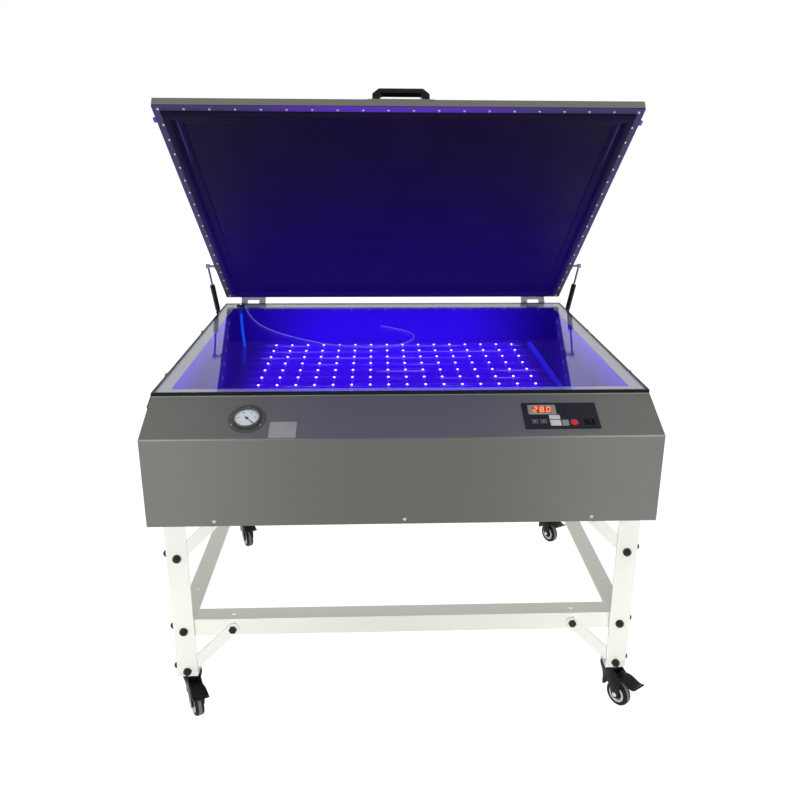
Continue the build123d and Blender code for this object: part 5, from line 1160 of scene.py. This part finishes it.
    def cap_nuts(self) -> None:
        """Domed black caps over the bolt heads on the four faces of the stand."""
        low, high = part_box("stand_legs")
        middle, half = (low + high) / 2, (high - low) / 2
        dome = Shape().revolve([(0.0, 0.0134), (0.0034, 0.0128), (0.0060, 0.0112),
                                (0.0076, 0.0086), (0.0082, 0.0062), (0.0100, 0.0058),
                                (0.0102, 0.0006), (0.0, 0.0004)], Matrix(), 20)
        source = dome.piece("cap_source", Paint.OXIDE)
        caps = []
        for level in self.bolt_levels:
            for facing, out, along in ((REAR, half.y, half.x), (RIGHT, half.x, half.y)):
                for sign in (-1, 1):
                    axis = facing * sign
                    spot = Vector((middle.x, middle.y, level)) + axis * out
                    place = stand_at(spot, axis, UP.cross(axis))
                    width = 2 * (along - self.bolt_inset)
                    caps.append(GRID.make("caps", source, Paint.OXIDE, place, Width=width,
                                          Depth=0.0, Columns=2, Rows=1))
        discard(source)
        settle(join("cap_nuts", caps), CABINET, "dark_steel")

    def inlet_blades(self) -> None:
        """Three flat contacts in the mains inlet."""
        low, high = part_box("power_inlet")
        centre = (low + high) / 2
        shape = Shape()
        for dx, dz in ((-0.007, -0.002), (0.007, -0.002), (0.0, 0.004)):
            place = Matrix.Translation((centre.x + dx, high.y - 0.019, centre.z + dz))
            shape.block((-0.001, 0.0, -0.002), (0.001, 0.013, 0.002), place)
        shape.soften(0.0004, 1)
        settle(shape.piece("inlet_blades", Paint.ZINC), CABINET, "zinc_steel")

    def build(self) -> None:
        """Dress the nodes and add the pieces."""
        self.dress()
        self.lamps()
        self.pane()
        self.suction_port()
        self.fasteners()
        self.cap_nuts()
        self.inlet_blades()


# ------------------------------------------------------------------ lid
@dataclass
class Lid:
    """Swing-up lid: rubber blanket, clamp strips with their screws, and bail handle.

    Its pieces are drawn on the closed lid and turned up about the hinge pin.
    """

    centre_y: float = 0.076
    half_y: float = 0.499
    corner: float = 0.038
    tighter: float = 0.022
    rail: float = 0.024
    screw_columns: int = 20
    screw_rows: int = 18
    screw_inset: float = 0.012
    strip_bottom: float = 0.824
    profile: tuple[tuple[float, float], ...] = (
        (0.0, 0.828), (0.0, 0.826), (0.0245, 0.826), (0.0245, 0.8237), (0.0166, 0.8236),
        (0.0162, 0.8212), (0.0168, 0.8170), (0.0190, 0.8140), (0.0225, 0.8128), (0.0335, 0.8127),
        (0.0362, 0.8138), (0.0380, 0.8165), (0.0386, 0.8205), (0.0396, 0.8228), (0.0420, 0.8233),
        (0.0580, 0.8233), (0.0604, 0.8240), (0.0618, 0.8254), (0.0640, 0.8260), (0.0665, 0.8260),
        (0.0720, 0.8260), (0.1200, 0.8258), (0.2200, 0.8250), (0.3400, 0.8244), (0.4400, 0.8242))
    handle_foot: float = 0.850
    handle_rise: float = 0.038
    handle_ease: float = 0.006
    handle_half: float = 0.0705
    handle_bar: float = 0.014
    handle_leg: float = 0.018
    handle_chamfer: float = 0.016
    handle_depth: float = 0.018
    handle_y: float = -0.409

    def blanket(self) -> None:
        """Rubber blanket with its rounded sealing bead, inner step and slight sag."""
        middle = Matrix.Translation((0.0, self.centre_y, 0.0))
        shape = Shape()

        def loop(inset: float, height: float) -> list[Vector]:
            """One closed outline of the blanket, at an inset from its edge and a closed height."""
            radius = max(0.004, self.corner - max(0.0, inset - self.rail))
            if inset < 0.02:
                radius = 0.0008
            outline = rounded_loop(LAYOUT.half_width - inset, self.half_y - inset, radius, 8,
                                   min(self.tighter, 0.6 * radius) if inset > 0.02 else 0.0)
            return [LAYOUT.lid @ middle @ Vector((x, y, height)) for x, y in outline]

        shape.loft([loop(inset, height) for inset, height in self.profile])
        settle(shape.piece("blanket_skin", Paint.BLANKET, 50.0), LID, "black_rubber", "lid_blanket")

    def screws(self) -> None:
        """Screws along the four clamp strips, as one piece."""
        source = pan_head(0.0036)
        spot = Matrix.Translation((0.0, self.centre_y, self.strip_bottom))
        place = LAYOUT.lid @ spot @ Matrix.Rotation(math.pi, 4, "X")
        width = 2 * (LAYOUT.half_width - self.screw_inset)
        depth = 2 * (self.half_y - self.screw_inset)
        inner = depth * (self.screw_rows - 3) / (self.screw_rows - 1)
        long_rows = GRID.make("strip_screws_long", source, Paint.ZINC, place, Width=width,
                              Depth=depth, Columns=self.screw_columns, Rows=2)
        side_rows = GRID.make("strip_screws_side", source, Paint.ZINC, place, Width=width,
                              Depth=inner, Columns=2, Rows=self.screw_rows - 2)
        discard(source)
        settle(join("strip_screws", [long_rows, side_rows]), LID, "zinc_steel", "lid_screws")

    def handle(self) -> None:
        """Bail handle with chamfered shoulders and eased edges."""
        low_z, top_z = self.handle_foot, self.handle_foot + self.handle_rise
        half, cut, ease = self.handle_half, self.handle_chamfer, self.handle_ease
        grip_z, inner = top_z - self.handle_bar, half - self.handle_leg
        outline = [(-half, low_z), (-half, top_z - cut), (-half + cut, top_z), (half - cut, top_z),
                   (half, top_z - cut), (half, low_z), (inner, low_z), (inner, grip_z - ease),
                   (inner - ease, grip_z), (ease - inner, grip_z), (-inner, grip_z - ease),
                   (-inner, low_z)]
        place = stand_at(Vector((0.0, self.handle_y, 0.0)), FRONT, RIGHT)
        reach = self.handle_depth / 2
        grip = Shape().prism(outline, -reach, reach, LAYOUT.lid @ place)
        grip.soften(0.0022, 3)
        thick = 0.002
        plate = LAYOUT.lid @ Matrix.Translation((0.0, self.handle_y - 0.002, low_z - thick))
        foot = Shape().block((-half - 0.012, -0.0115, 0.0), (half + 0.012, 0.0115, thick), plate)
        foot.soften(0.0006, 2)
        settle(foot.piece("handle_plate", Paint.BLACK), LID, "black_plastic")
        settle(grip.piece("handle_grip", Paint.BLACK), LID, "black_plastic", "lid_handle")

    def build(self) -> None:
        """Dress the nodes and add the pieces."""
        Paint.LID.give("lid_frame", "lid_handle")
        Paint.STRIP.give("lid_clamp_strips")
        Paint.HINGE.give("hinge_lid_leaves")
        Paint.SIDE_FITTING.give("lid_side_fittings")
        Paint.BLANKET.give("lid_blanket")
        Paint.ZINC.give("lid_screws")
        self.blanket()
        self.screws()
        self.handle()


@dataclass
class Strut:
    """One gas strut and the latch on its side: black tube, bright rod and dark hook."""

    side: str

    def build(self) -> None:
        """Dress the nodes."""
        Paint.STRUT_BLACK.give("strut_cylinder_" + self.side)
        Paint.ROD.give("strut_rod_" + self.side)
        Paint.OXIDE.give("latch_hook_" + self.side)


# ------------------------------------------------------------------ gauge and panel
@dataclass
class Gauge:
    """Vacuum gauge on the slope: dial, scale, dark bezel with a painted highlight, and flange
    screws.
    """

    across: float = -0.364
    down: float = 0.079
    dial_radius: float = 0.0283
    floor: float = 0.0025
    flange: float = 0.0025
    screw_circle: float = 0.038
    tick_circle: float = 0.0262
    number_circle: float = 0.0192
    number_size: float = 0.0052
    start: float = -45.0
    sweep: float = 270.0

    def place(self, out: float = 0.0) -> Matrix:
        """The gauge's own axis, some distance out from the slope."""
        return LAYOUT.slope(self.across, self.down, out)

    def dial(self) -> None:
        """White dial plate with its scale marks and plain numbers."""
        plate = Shape().revolve([(0.0029, 0.0), (self.dial_radius, 0.0), (self.dial_radius, 0.0003),
                                 (0.0029, 0.0003)], self.place(self.floor), 64, True)
        settle(plate.piece("gauge_dial", Paint.DIAL), CABINET, "gauge_shell")
        marks = []
        start, sweep = math.radians(self.start), math.radians(self.sweep)
        for name, count, half_length, half_width in (("fine", 51, 0.0010, 0.00013),
                                                     ("main", 11, 0.0019, 0.00033)):
            tick = Shape().block((-half_length, -half_width, 0.0),
                                 (half_length, half_width, 0.00012), Matrix())
            source = tick.piece("tick_source", Paint.INK)
            marks.append(ARC.make("ticks_" + name, source, Paint.INK,
                                  self.place(self.floor + 0.0003),
                                  Radius=self.tick_circle - half_length, Start=start, Sweep=sweep,
                                  Count=count))
            discard(source)
        for index in range(0, 11, 2):
            angle = start + sweep * index / 10
            marks.append(self.number(str(100 - index * 10), angle))
        settle(join("gauge_scale", marks), CABINET, "needle_black")

    def number(self, text: str, angle: float) -> bpy.types.Object:
        """One upright number on the scale."""
        curve = bpy.data.curves.new("number", "FONT")
        curve.body = text
        curve.size = self.number_size
        curve.align_x = "CENTER"
        curve.align_y = "CENTER"
        curve.extrude = 0.00005
        curve.resolution_u = 3
        data = bake(show("number", curve))
        spot = (self.number_circle * math.cos(angle), self.number_circle * math.sin(angle), 0.0)
        data.transform(self.place(self.floor + 0.0004) @ Matrix.Translation(spot))
        return show("number", data)

    def bezel(self) -> None:
        """Dark rolled bezel round the lens, with a painted highlight along its lower arc."""
        rolled = [(0.0286, 0.0080), (0.0288, 0.0090), (0.0298, 0.0097), (0.0314, 0.0098),
                  (0.0328, 0.0090), (0.0334, 0.0076), (0.0334, 0.0030), (0.0320, 0.0028),
                  (0.0318, 0.0080)]
        ring = Shape().revolve(rolled, self.place(), 72, True)
        settle(ring.piece("gauge_bezel", Paint.BEZEL, 60.0), CABINET, "zinc_steel")

    def screws(self) -> None:
        """Flange screws."""
        source = pan_head(0.0036)
        ring = ARC.make("gauge_screws", source, Paint.KNURL, self.place(self.flange),
                        Radius=self.screw_circle, Start=math.radians(90),
                        Sweep=math.radians(240), Count=3)
        discard(source)
        settle(ring, CABINET, "zinc_steel")

    def build(self) -> None:
        """Dress the nodes and add the pieces."""
        Paint.GAUGE.give("gauge_case")
        Paint.INK.give("gauge_needle")
        Paint.PANE.give("gauge_lens")
        self.dial()
        self.bezel()
        self.screws()


class Segment(Enum):
    """The seven strokes of a lit digit: centre (x, y) in half heights, and whether it stands."""

    TOP = (0.0, 1.0, False)
    TOP_RIGHT = (0.5, 0.5, True)
    BOTTOM_RIGHT = (0.5, -0.5, True)
    BOTTOM = (0.0, -1.0, False)
    BOTTOM_LEFT = (-0.5, -0.5, True)
    TOP_LEFT = (-0.5, 0.5, True)
    MIDDLE = (0.0, 0.0, False)


DIGITS: dict[str, str] = {"2": "TOP TOP_RIGHT MIDDLE BOTTOM_LEFT BOTTOM",
                          "8": "TOP TOP_RIGHT BOTTOM_RIGHT BOTTOM BOTTOM_LEFT TOP_LEFT MIDDLE",
                          "0": "TOP TOP_RIGHT BOTTOM_RIGHT BOTTOM BOTTOM_LEFT TOP_LEFT"}


@dataclass
class ControlPanel:
    """Timer panel: lit digits, window frame, key marks and rocker surround."""

    window: tuple[float, float] = (0.326, 0.058)
    face: float = 0.003
    window_top: float = 0.0036
    rocker: tuple[float, float] = (0.432, 0.099)
    pocket: tuple[float, float] = (0.021, 0.014)
    digit_half: float = 0.0078
    digit_gap: float = 0.0155
    stroke: float = 0.0029
    window_opening: tuple[float, float] = (0.0410, 0.0205)
    window_rim: tuple[float, float] = (0.0129, 0.0054)
    keys: dict[str, Paint] = field(default_factory=lambda: {
        "key_down": Paint.DARK_KEY, "key_up": Paint.DARK_KEY, "key_set": Paint.WHITE_KEY,
        "key_timer": Paint.WHITE_KEY, "key_vacuum": Paint.GREY_KEY, "key_start": Paint.RED_KEY,
        "power_rocker": Paint.BLACK})

    def stroke_at(self, shape: Shape, segment: Segment, place: Matrix) -> None:
        """Add one pointed stroke of a digit."""
        x, y, upright = segment.value
        half = self.digit_half * 0.5 - 0.0004
        width = self.stroke / 2
        outline = [(-half, 0.0), (-half + width, width), (half - width, width), (half, 0.0),
                   (half - width, -width), (-half + width, -width)]
        if upright:
            outline = [(-b, a) for a, b in outline]
        middle = (x * self.digit_half, y * self.digit_half)
        slanted = [(a + middle[0] + 0.12 * (b + middle[1]), b + middle[1]) for a, b in outline]
        shape.prism(slanted, 0.0, 0.0003, place)

    def digits(self) -> None:
        """The reading as lit strokes."""
        shape = Shape()
        for index, digit in enumerate("280"):
            across = self.window[0] + (index - 1) * self.digit_gap
            place = LAYOUT.slope(across, self.window[1], self.window_top)
            for name in DIGITS[digit].split():
                self.stroke_at(shape, Segment[name], place)
        dot = LAYOUT.slope(self.window[0] + self.digit_gap * 0.42, self.window[1] + self.digit_half,
                           self.window_top)
        shape.revolve([(0.0, 0.0), (0.0011, 0.0), (0.0011, 0.0003), (0.0, 0.0003)], dot, 12)
        settle(shape.piece("display_digits", Paint.SEGMENT), CABINET, "red_plastic")

    def surround(self, name: str, centre: tuple[float, float], size: tuple[float, float],
                 width: tuple[float, float], low: float, high: float, paint: Paint,
                 slot_name: str) -> bpy.types.Object:
        """A rounded frame round an opening of the panel, with its own width across and along."""
        place = LAYOUT.slope(*centre)
        half_x, half_y = size[0] / 2, size[1] / 2
        reach = min(width)
        ease = reach * 0.25
        rows = [(0.0, low), (0.0, high - ease), (ease, high), (reach - ease, high),
                (reach, high - ease), (reach, low)]
        shape = Shape()
        rings = []
        for out, height in rows:
            share = out / reach
            outline = rounded_loop(half_x + width[0] * share, half_y + width[1] * share,
                                   0.001 + out * 0.3, 4)
            rings.append(shape.ring(place @ Vector((x, y, height)) for x, y in outline))
        for first, second in zip(rings, rings[1:] + rings[:1]):
            shape.bridge(first, second)
        return settle(shape.piece(name, paint), CABINET, slot_name)

    def marks(self) -> None:
        """Arrow marks and pale outlines on the two stepping keys."""
        for name, lift in (("key_down", -1), ("key_up", 1)):
            low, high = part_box(name)
            middle = (low + high) / 2
            reach = Vector((middle.x, middle.y, middle.z)) - LAYOUT.slope_origin
            up = LAYOUT.slope(0.0, 0.0).to_3x3() @ REAR
            down = -reach.dot(up)
            outline = [(-0.0036, -0.0022 * lift), (0.0036, -0.0022 * lift), (0.0, 0.0034 * lift)]
            spot = LAYOUT.slope(middle.x, down, self.face + 0.0016)
            shape = Shape().prism(outline, 0.0, 0.00015, spot)
            settle(shape.piece(name + "_mark", Paint.GREY_KEY), name, "white_plastic")
            edge = self.surround(name + "_outline", (middle.x, down), (0.0126, 0.0098),
                                 (0.0010, 0.0010), self.face + 0.0012, self.face + 0.0017,
                                 Paint.GREY_KEY, "grey_plastic")
            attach(edge, name)

    def build(self) -> None:
        """Dress the nodes and add the pieces."""
        Paint.FACE.give("control_panel")
        Paint.WINDOW.give("display_window")
        for node, paint in self.keys.items():
            paint.give(node)
        self.digits()
        low, high = self.face - 0.001, self.face + 0.0014
        self.surround("window_frame", self.window, self.window_opening, self.window_rim, low, high,
                      Paint.GREY_KEY, "grey_plastic")
        self.surround("rocker_frame", self.rocker, self.pocket, (0.0026, 0.0026), low, high,
                      Paint.POCKET, "black_plastic")
        self.marks()


# ------------------------------------------------------------------ casters
@dataclass
class Caster:
    """Braked swivel caster: sculpted hood, rubber-tyred wheel and sweeping pedal.

    It is drawn about its stem with the wheel trailing towards -y, then turned to its heading.
    """

    corner: str
    trail: float = 0.033
    wheel_radius: float = 0.0325
    wheel_half: float = 0.012
    cheek_in: float = 0.0132
    cheek_thick: float = 0.0035
    arm_half: float = 0.0128
    hood: tuple[tuple[float, float, float, float], ...] = (
        (0.1083, -0.0232, 0.0225, 0.0236), (0.1070, -0.0242, 0.0235, 0.0246),
        (0.1010, -0.0242, 0.0230, 0.0244), (0.0940, -0.0232, 0.0215, 0.0228),
        (0.0850, -0.0212, 0.0190, 0.0204), (0.0755, -0.0185, 0.0168, 0.0182),
        (0.0670, -0.0145, 0.0150, 0.0167), (0.0600, -0.0118, 0.0138, 0.0163),
        (0.0520, -0.0048, 0.0126, 0.0160), (0.0455, 0.0008, 0.0112, 0.0158),
        (0.0410, 0.0040, 0.0092, 0.0156))
    sweep: tuple[tuple[float, float, float, float], ...] = (
        (-0.0400, 0.0900, 0.0135, 0.0054), (-0.0470, 0.0904, 0.0160, 0.0050),
        (-0.0560, 0.0890, 0.0184, 0.0046), (-0.0660, 0.0852, 0.0196, 0.0044),
        (-0.0760, 0.0822, 0.0200, 0.0042), (-0.0840, 0.0818, 0.0200, 0.0042),
        (-0.0890, 0.0838, 0.0196, 0.0040), (-0.0936, 0.0872, 0.0184, 0.0036))

    def __post_init__(self) -> None:
        """Take the caster's place and heading from its joints."""
        swivel = LAYOUT.joints["caster_swivel_" + self.corner]["pos_m"]
        axis = Vector(LAYOUT.joints["caster_roll_" + self.corner]["axis"])
        side = axis if axis.x > 0 else -axis
        self.stand = stand_at(Vector((swivel[0], swivel[1], 0.0)), UP, side)

    def body(self, part: str) -> str:
        """Name of the moving body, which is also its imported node."""
        return f"caster_{part}_{self.corner}"

    def fork(self) -> None:
        """Hood, side cheeks and axle ends."""
        shape = Shape()
        sections = []
        for z, back, front, half in self.hood:
            middle, reach = (back + front) / 2, (front - back) / 2
            outline = rounded_loop(half, reach, min(half, reach) * 0.72, 5)
            sections.append([self.stand @ Vector((x, y + middle, z)) for x, y in outline])
        shape.loft(sections)
        cheek = [(0.0120, 0.1000), (-0.0150, 0.1030), (-0.0260, 0.0980), (-0.0385, 0.0890),
                 (-0.0448, 0.0780), (-0.0462, 0.0600), (-0.0448, 0.0400), (-0.0425, 0.0290),
                 (-0.0380, 0.0235), (-0.0330, 0.0220), (-0.0270, 0.0238), (-0.0225, 0.0300),
                 (-0.0180, 0.0420), (-0.0050, 0.0620), (0.0085, 0.0780)]
        for side in (-1, 1):
            low, high = sorted((side * self.cheek_in, side * (self.cheek_in + self.cheek_thick)))
            shape.prism(cheek, low, high, self.stand @ SIDEWAYS)
        shape.soften(0.0012, 2, 50.0)
        body = self.body("fork")
        hood = shape.piece("caster_hood_" + self.corner, Paint.STRUT_BLACK, 50.0)
        settle(hood, body, "black_plastic", body)
        bolts = Shape()
        head = [(0.0, 0.0028), (0.0036, 0.0025), (0.0056, 0.0016), (0.0064, 0.0), (0.0, -0.0005)]
        for side in (-1, 1):
            spot = Vector((side * (self.cheek_in + 0.0030), -self.trail, self.wheel_radius))
            bolts.revolve(head, self.stand @ stand_at(spot, RIGHT * side, REAR), 20)
        settle(bolts.piece("caster_axle_" + self.corner, Paint.ZINC), body, "zinc_steel")

    def wheel(self) -> None:
        """Tyre, a painted highlight band round its tread, pale hub ring and dark hub centre."""
        axis = self.stand @ stand_at(Vector((0.0, -self.trail, self.wheel_radius)), RIGHT, REAR)
        r, w = self.wheel_radius, self.wheel_half
        tyre = ((0.0225, 0.0022 - w), (r - 0.0062, 0.0008 - w), (r - 0.0032, 0.0012 - w),
                (r - 0.0012, 0.0036 - w), (r - 0.0001, 0.0072 - w), (r, -0.0030),
                (r - 0.0004, -0.0024))
        band = ((r - 0.0006, -0.0042), (r + 0.0001, -0.0040))
        ring = ((0.0150, 0.0030 - w), (0.0170, 0.0012 - w), (0.0218, 0.0012 - w),
                (0.0228, 0.0030 - w))
        hub = ((0.0042, 0.0002 - w), (0.0088, 0.0002 - w), (0.0098, 0.0012 - w),
               (0.0104, 0.0042 - w), (0.0152, 0.0048 - w))
        body = self.body("wheel")
        for name, half, segments, paint, slot_name, replaced in (
                ("tyre", tyre, 48, Paint.TREAD, "wheel_tread", (body,)),
                ("band", band, 48, Paint.TREAD_HIGHLIGHT, "wheel_tread", ()),
                ("ring", ring, 40, Paint.HUB, "grey_plastic", ()),
                ("hub", hub, 32, Paint.BLACK, "black_plastic", ())):
            turned = Shape().revolve(mirrored(half), axis, segments, True)
            settle(turned.piece(f"caster_{name}_{self.corner}", paint), body, slot_name, *replaced)

    def brake(self) -> None:
        """Pedal that sweeps out from between the cheeks and turns up at its lip."""
        shape = Shape()
        sections = []
        for index, (y, z, half, thick) in enumerate(self.sweep):
            before = self.sweep[max(0, index - 1)]
            after = self.sweep[min(len(self.sweep) - 1, index + 1)]
            along = Vector((0.0, after[0] - before[0], after[1] - before[1])).normalized()
            up = RIGHT.cross(along)
            outline = rounded_loop(half, thick / 2, min(half, thick / 2) * 0.8, 3)
            sections.append([self.stand @ (Vector((a, y, z)) + up * b) for a, b in outline])
        shape.loft(sections)
        arm = [(-0.0385, 0.0742), (-0.0282, 0.0742), (-0.0245, 0.0925), (-0.0300, 0.0938),
               (-0.0470, 0.0898), (-0.0470, 0.0856), (-0.0400, 0.0858)]
        shape.prism(arm, -self.arm_half, self.arm_half, self.stand @ SIDEWAYS)
        shape.soften(0.0008, 2, 50.0)
        pedal = shape.piece("caster_pedal_" + self.corner, Paint.STRUT_BLACK, 50.0)
        settle(pedal, self.body("brake"), "black_plastic", self.body("brake"))

    def build(self) -> None:
        """Dress the nodes and add the pieces."""
        Paint.BLACK.give(self.body("fork"), self.body("wheel"), self.body("brake"))
        self.fork()
        self.wheel()
        self.brake()


# ------------------------------------------------------------------ studio
@dataclass
class Studio:
    """Camera, pale floor and plain soft light."""

    eye: Point = (-0.06154, -2.178, 1.4204)
    yaw: float = 2.372
    pitch: float = -17.59
    roll: float = 0.3681
    lens: float = 34.92
    shift: tuple[float, float] = (-0.01025, -0.03525)
    ambient: tuple[float, float] = (0.66, 0.26)
    floor_share: float = 0.75
    floor_glow: float = 1.35
    floor_reach: float = 12.0
    strip_power: float = 2.3
    front_power: float = 30.0
    stand_power: float = 0.34
    under_power: float = 1.4
    table_power: float = 4.5
    table_colour: Colour = (0.14, 0.02, 1.0)

    def camera(self) -> None:
        """Stand the camera and make it the scene's own."""
        yaw, pitch, roll = (math.radians(angle) for angle in (self.yaw, self.pitch, self.roll))
        level = math.cos(pitch)
        ahead = Vector((math.sin(yaw) * level, math.cos(yaw) * level, math.sin(pitch)))
        right = ahead.cross(UP).normalized()
        over = right.cross(ahead)
        side = math.cos(roll) * right + math.sin(roll) * over
        top = -math.sin(roll) * right + math.cos(roll) * over
        data = bpy.data.cameras.new("camera")
        data.lens = self.lens
        data.shift_x, data.shift_y = self.shift
        data.clip_end = 100.0
        made = show("camera", data)
        turn = Matrix((side, top, -ahead)).transposed().to_4x4()
        made.matrix_world = Matrix.Translation(self.eye) @ turn
        bpy.context.scene.camera = made

    def seen_directly(self, graph: Graph) -> Value:
        """1 for rays from the camera, and for those off metal and through glass."""
        path = graph.node("LightPath")
        values = [Value(graph, path.outputs[name])
                  for name in ("Is Camera Ray", "Is Glossy Ray", "Is Transmission Ray")]
        first = graph.maths("MAXIMUM", values[0], values[1])
        return graph.maths("MAXIMUM", first, values[2])

    def floor(self) -> None:
        """Pale floor that keeps the object's shadow."""
        graph = Graph(bpy.data.materials.new("studio_floor"))
        cloud = graph.noise(0.6, 2.0)
        colour = graph.blend(cloud, (0.90, 0.90, 0.90), (0.92, 0.92, 0.92))
        matt = graph.node("BsdfDiffuse", {}, {"Color": colour})
        lit = graph.node("Emission", {}, {"Color": WHITE, "Strength": self.floor_glow})
        share = self.seen_directly(graph) * self.floor_share
        both = graph.node("MixShader", {}, {0: share, 1: matt.outputs[0], 2: lit.outputs[0]})
        material = graph.close(both.outputs[0])
        mesh = bpy.data.meshes.new("studio_floor")
        reach = self.floor_reach
        corners = [(-reach, -reach, 0), (reach, -reach, 0), (reach, reach, 0), (-reach, reach, 0)]
        mesh.from_pydata(corners, [], [(0, 1, 2, 3)])
        mesh.materials.append(material)
        made = show("studio_floor", mesh)

    def sky(self) -> None:
        """Even surrounding light, white where it is seen."""
        graph = Graph(bpy.data.worlds.new("studio"))
        direction = graph.node("TexCoord").outputs["Generated"]
        height = Value(graph, graph.node("SeparateXYZ", {}, {0: direction}).outputs[2])
        side, top = self.ambient
        soft = height.size().within(0.05, 0.9) * (top - side) + side
        seen = self.seen_directly(graph)
        level = seen + (1.0 - seen) * soft
        shown = graph.node("Background", {}, {"Color": WHITE, "Strength": level})
        graph.node("OutputWorld", {}, {"Surface": shown.outputs[0]})
        bpy.context.scene.world = graph.owner

    def lamp(self, name: str, place: Matrix, size: tuple[float, float], power: float,
             colour: Colour = WHITE, spread: float = 180.0) -> None:
        """Add an area lamp that shines along its place's -z axis and leaves no mirror image."""
        data = bpy.data.lights.new(name, "AREA")
        data.shape = "RECTANGLE"
        data.size, data.size_y = size
        data.energy = power
        data.color = colour
        data.spread = math.radians(spread)
        made = show(name, data)
        made.matrix_world = place
        made.visible_camera = False
        made.visible_glossy = False
        made.visible_transmission = False

    def build(self) -> None:
        """Set up the whole studio."""
        bpy.context.scene.view_settings.view_transform = "Standard"
        self.camera()
        self.floor()
        self.sky()
        for name, x in (("left_strip", -0.80), ("right_strip", 0.80)):
            place = stand_at(Vector((x, -3.0, 0.80)), Vector((0.0, -1.0, 0.06)), RIGHT)
            self.lamp(name, place, (0.6, 1.6), self.strip_power, spread=40.0)
        front = stand_at(Vector((-0.2, -5.0, 1.3)), Vector((-0.04, -1.0, 0.10)), RIGHT)
        self.lamp("front_softbox", front, (5.0, 2.6), self.front_power)
        low = stand_at(Vector((0.0, -3.2, 0.22)), Vector((0.0, -1.0, 0.0)), RIGHT)
        self.lamp("stand_strip", low, (1.8, 0.25), self.stand_power, spread=14.0)
        under = stand_at(Vector((0.0, -0.103, 0.522)), UP, RIGHT)
        self.lamp("under_fill", under, (1.06, 0.82), self.under_power)
        up = stand_at(Vector((0.0, 0.087, 0.8135)), -UP, RIGHT)
        self.lamp("table_glow", up, (1.05, 0.85), self.table_power, self.table_colour)


def main() -> None:
    """Build the studio and every sub-assembly in order."""
    logging.basicConfig(level=logging.INFO, format="%(name)s %(message)s")
    Studio().build()
    for line in (BLEEDER_CORD, SUCTION_HOSE):
        line.build()
    parts = [Cabinet(), Lid(), Strut("left"), Strut("right"), Gauge(), ControlPanel()]
    parts += [Caster(corner) for corner in CORNERS]
    for part in parts:
        part.build()
        LOG.info("%s built", type(part).__name__)


if __name__ == "__main__":
    main()
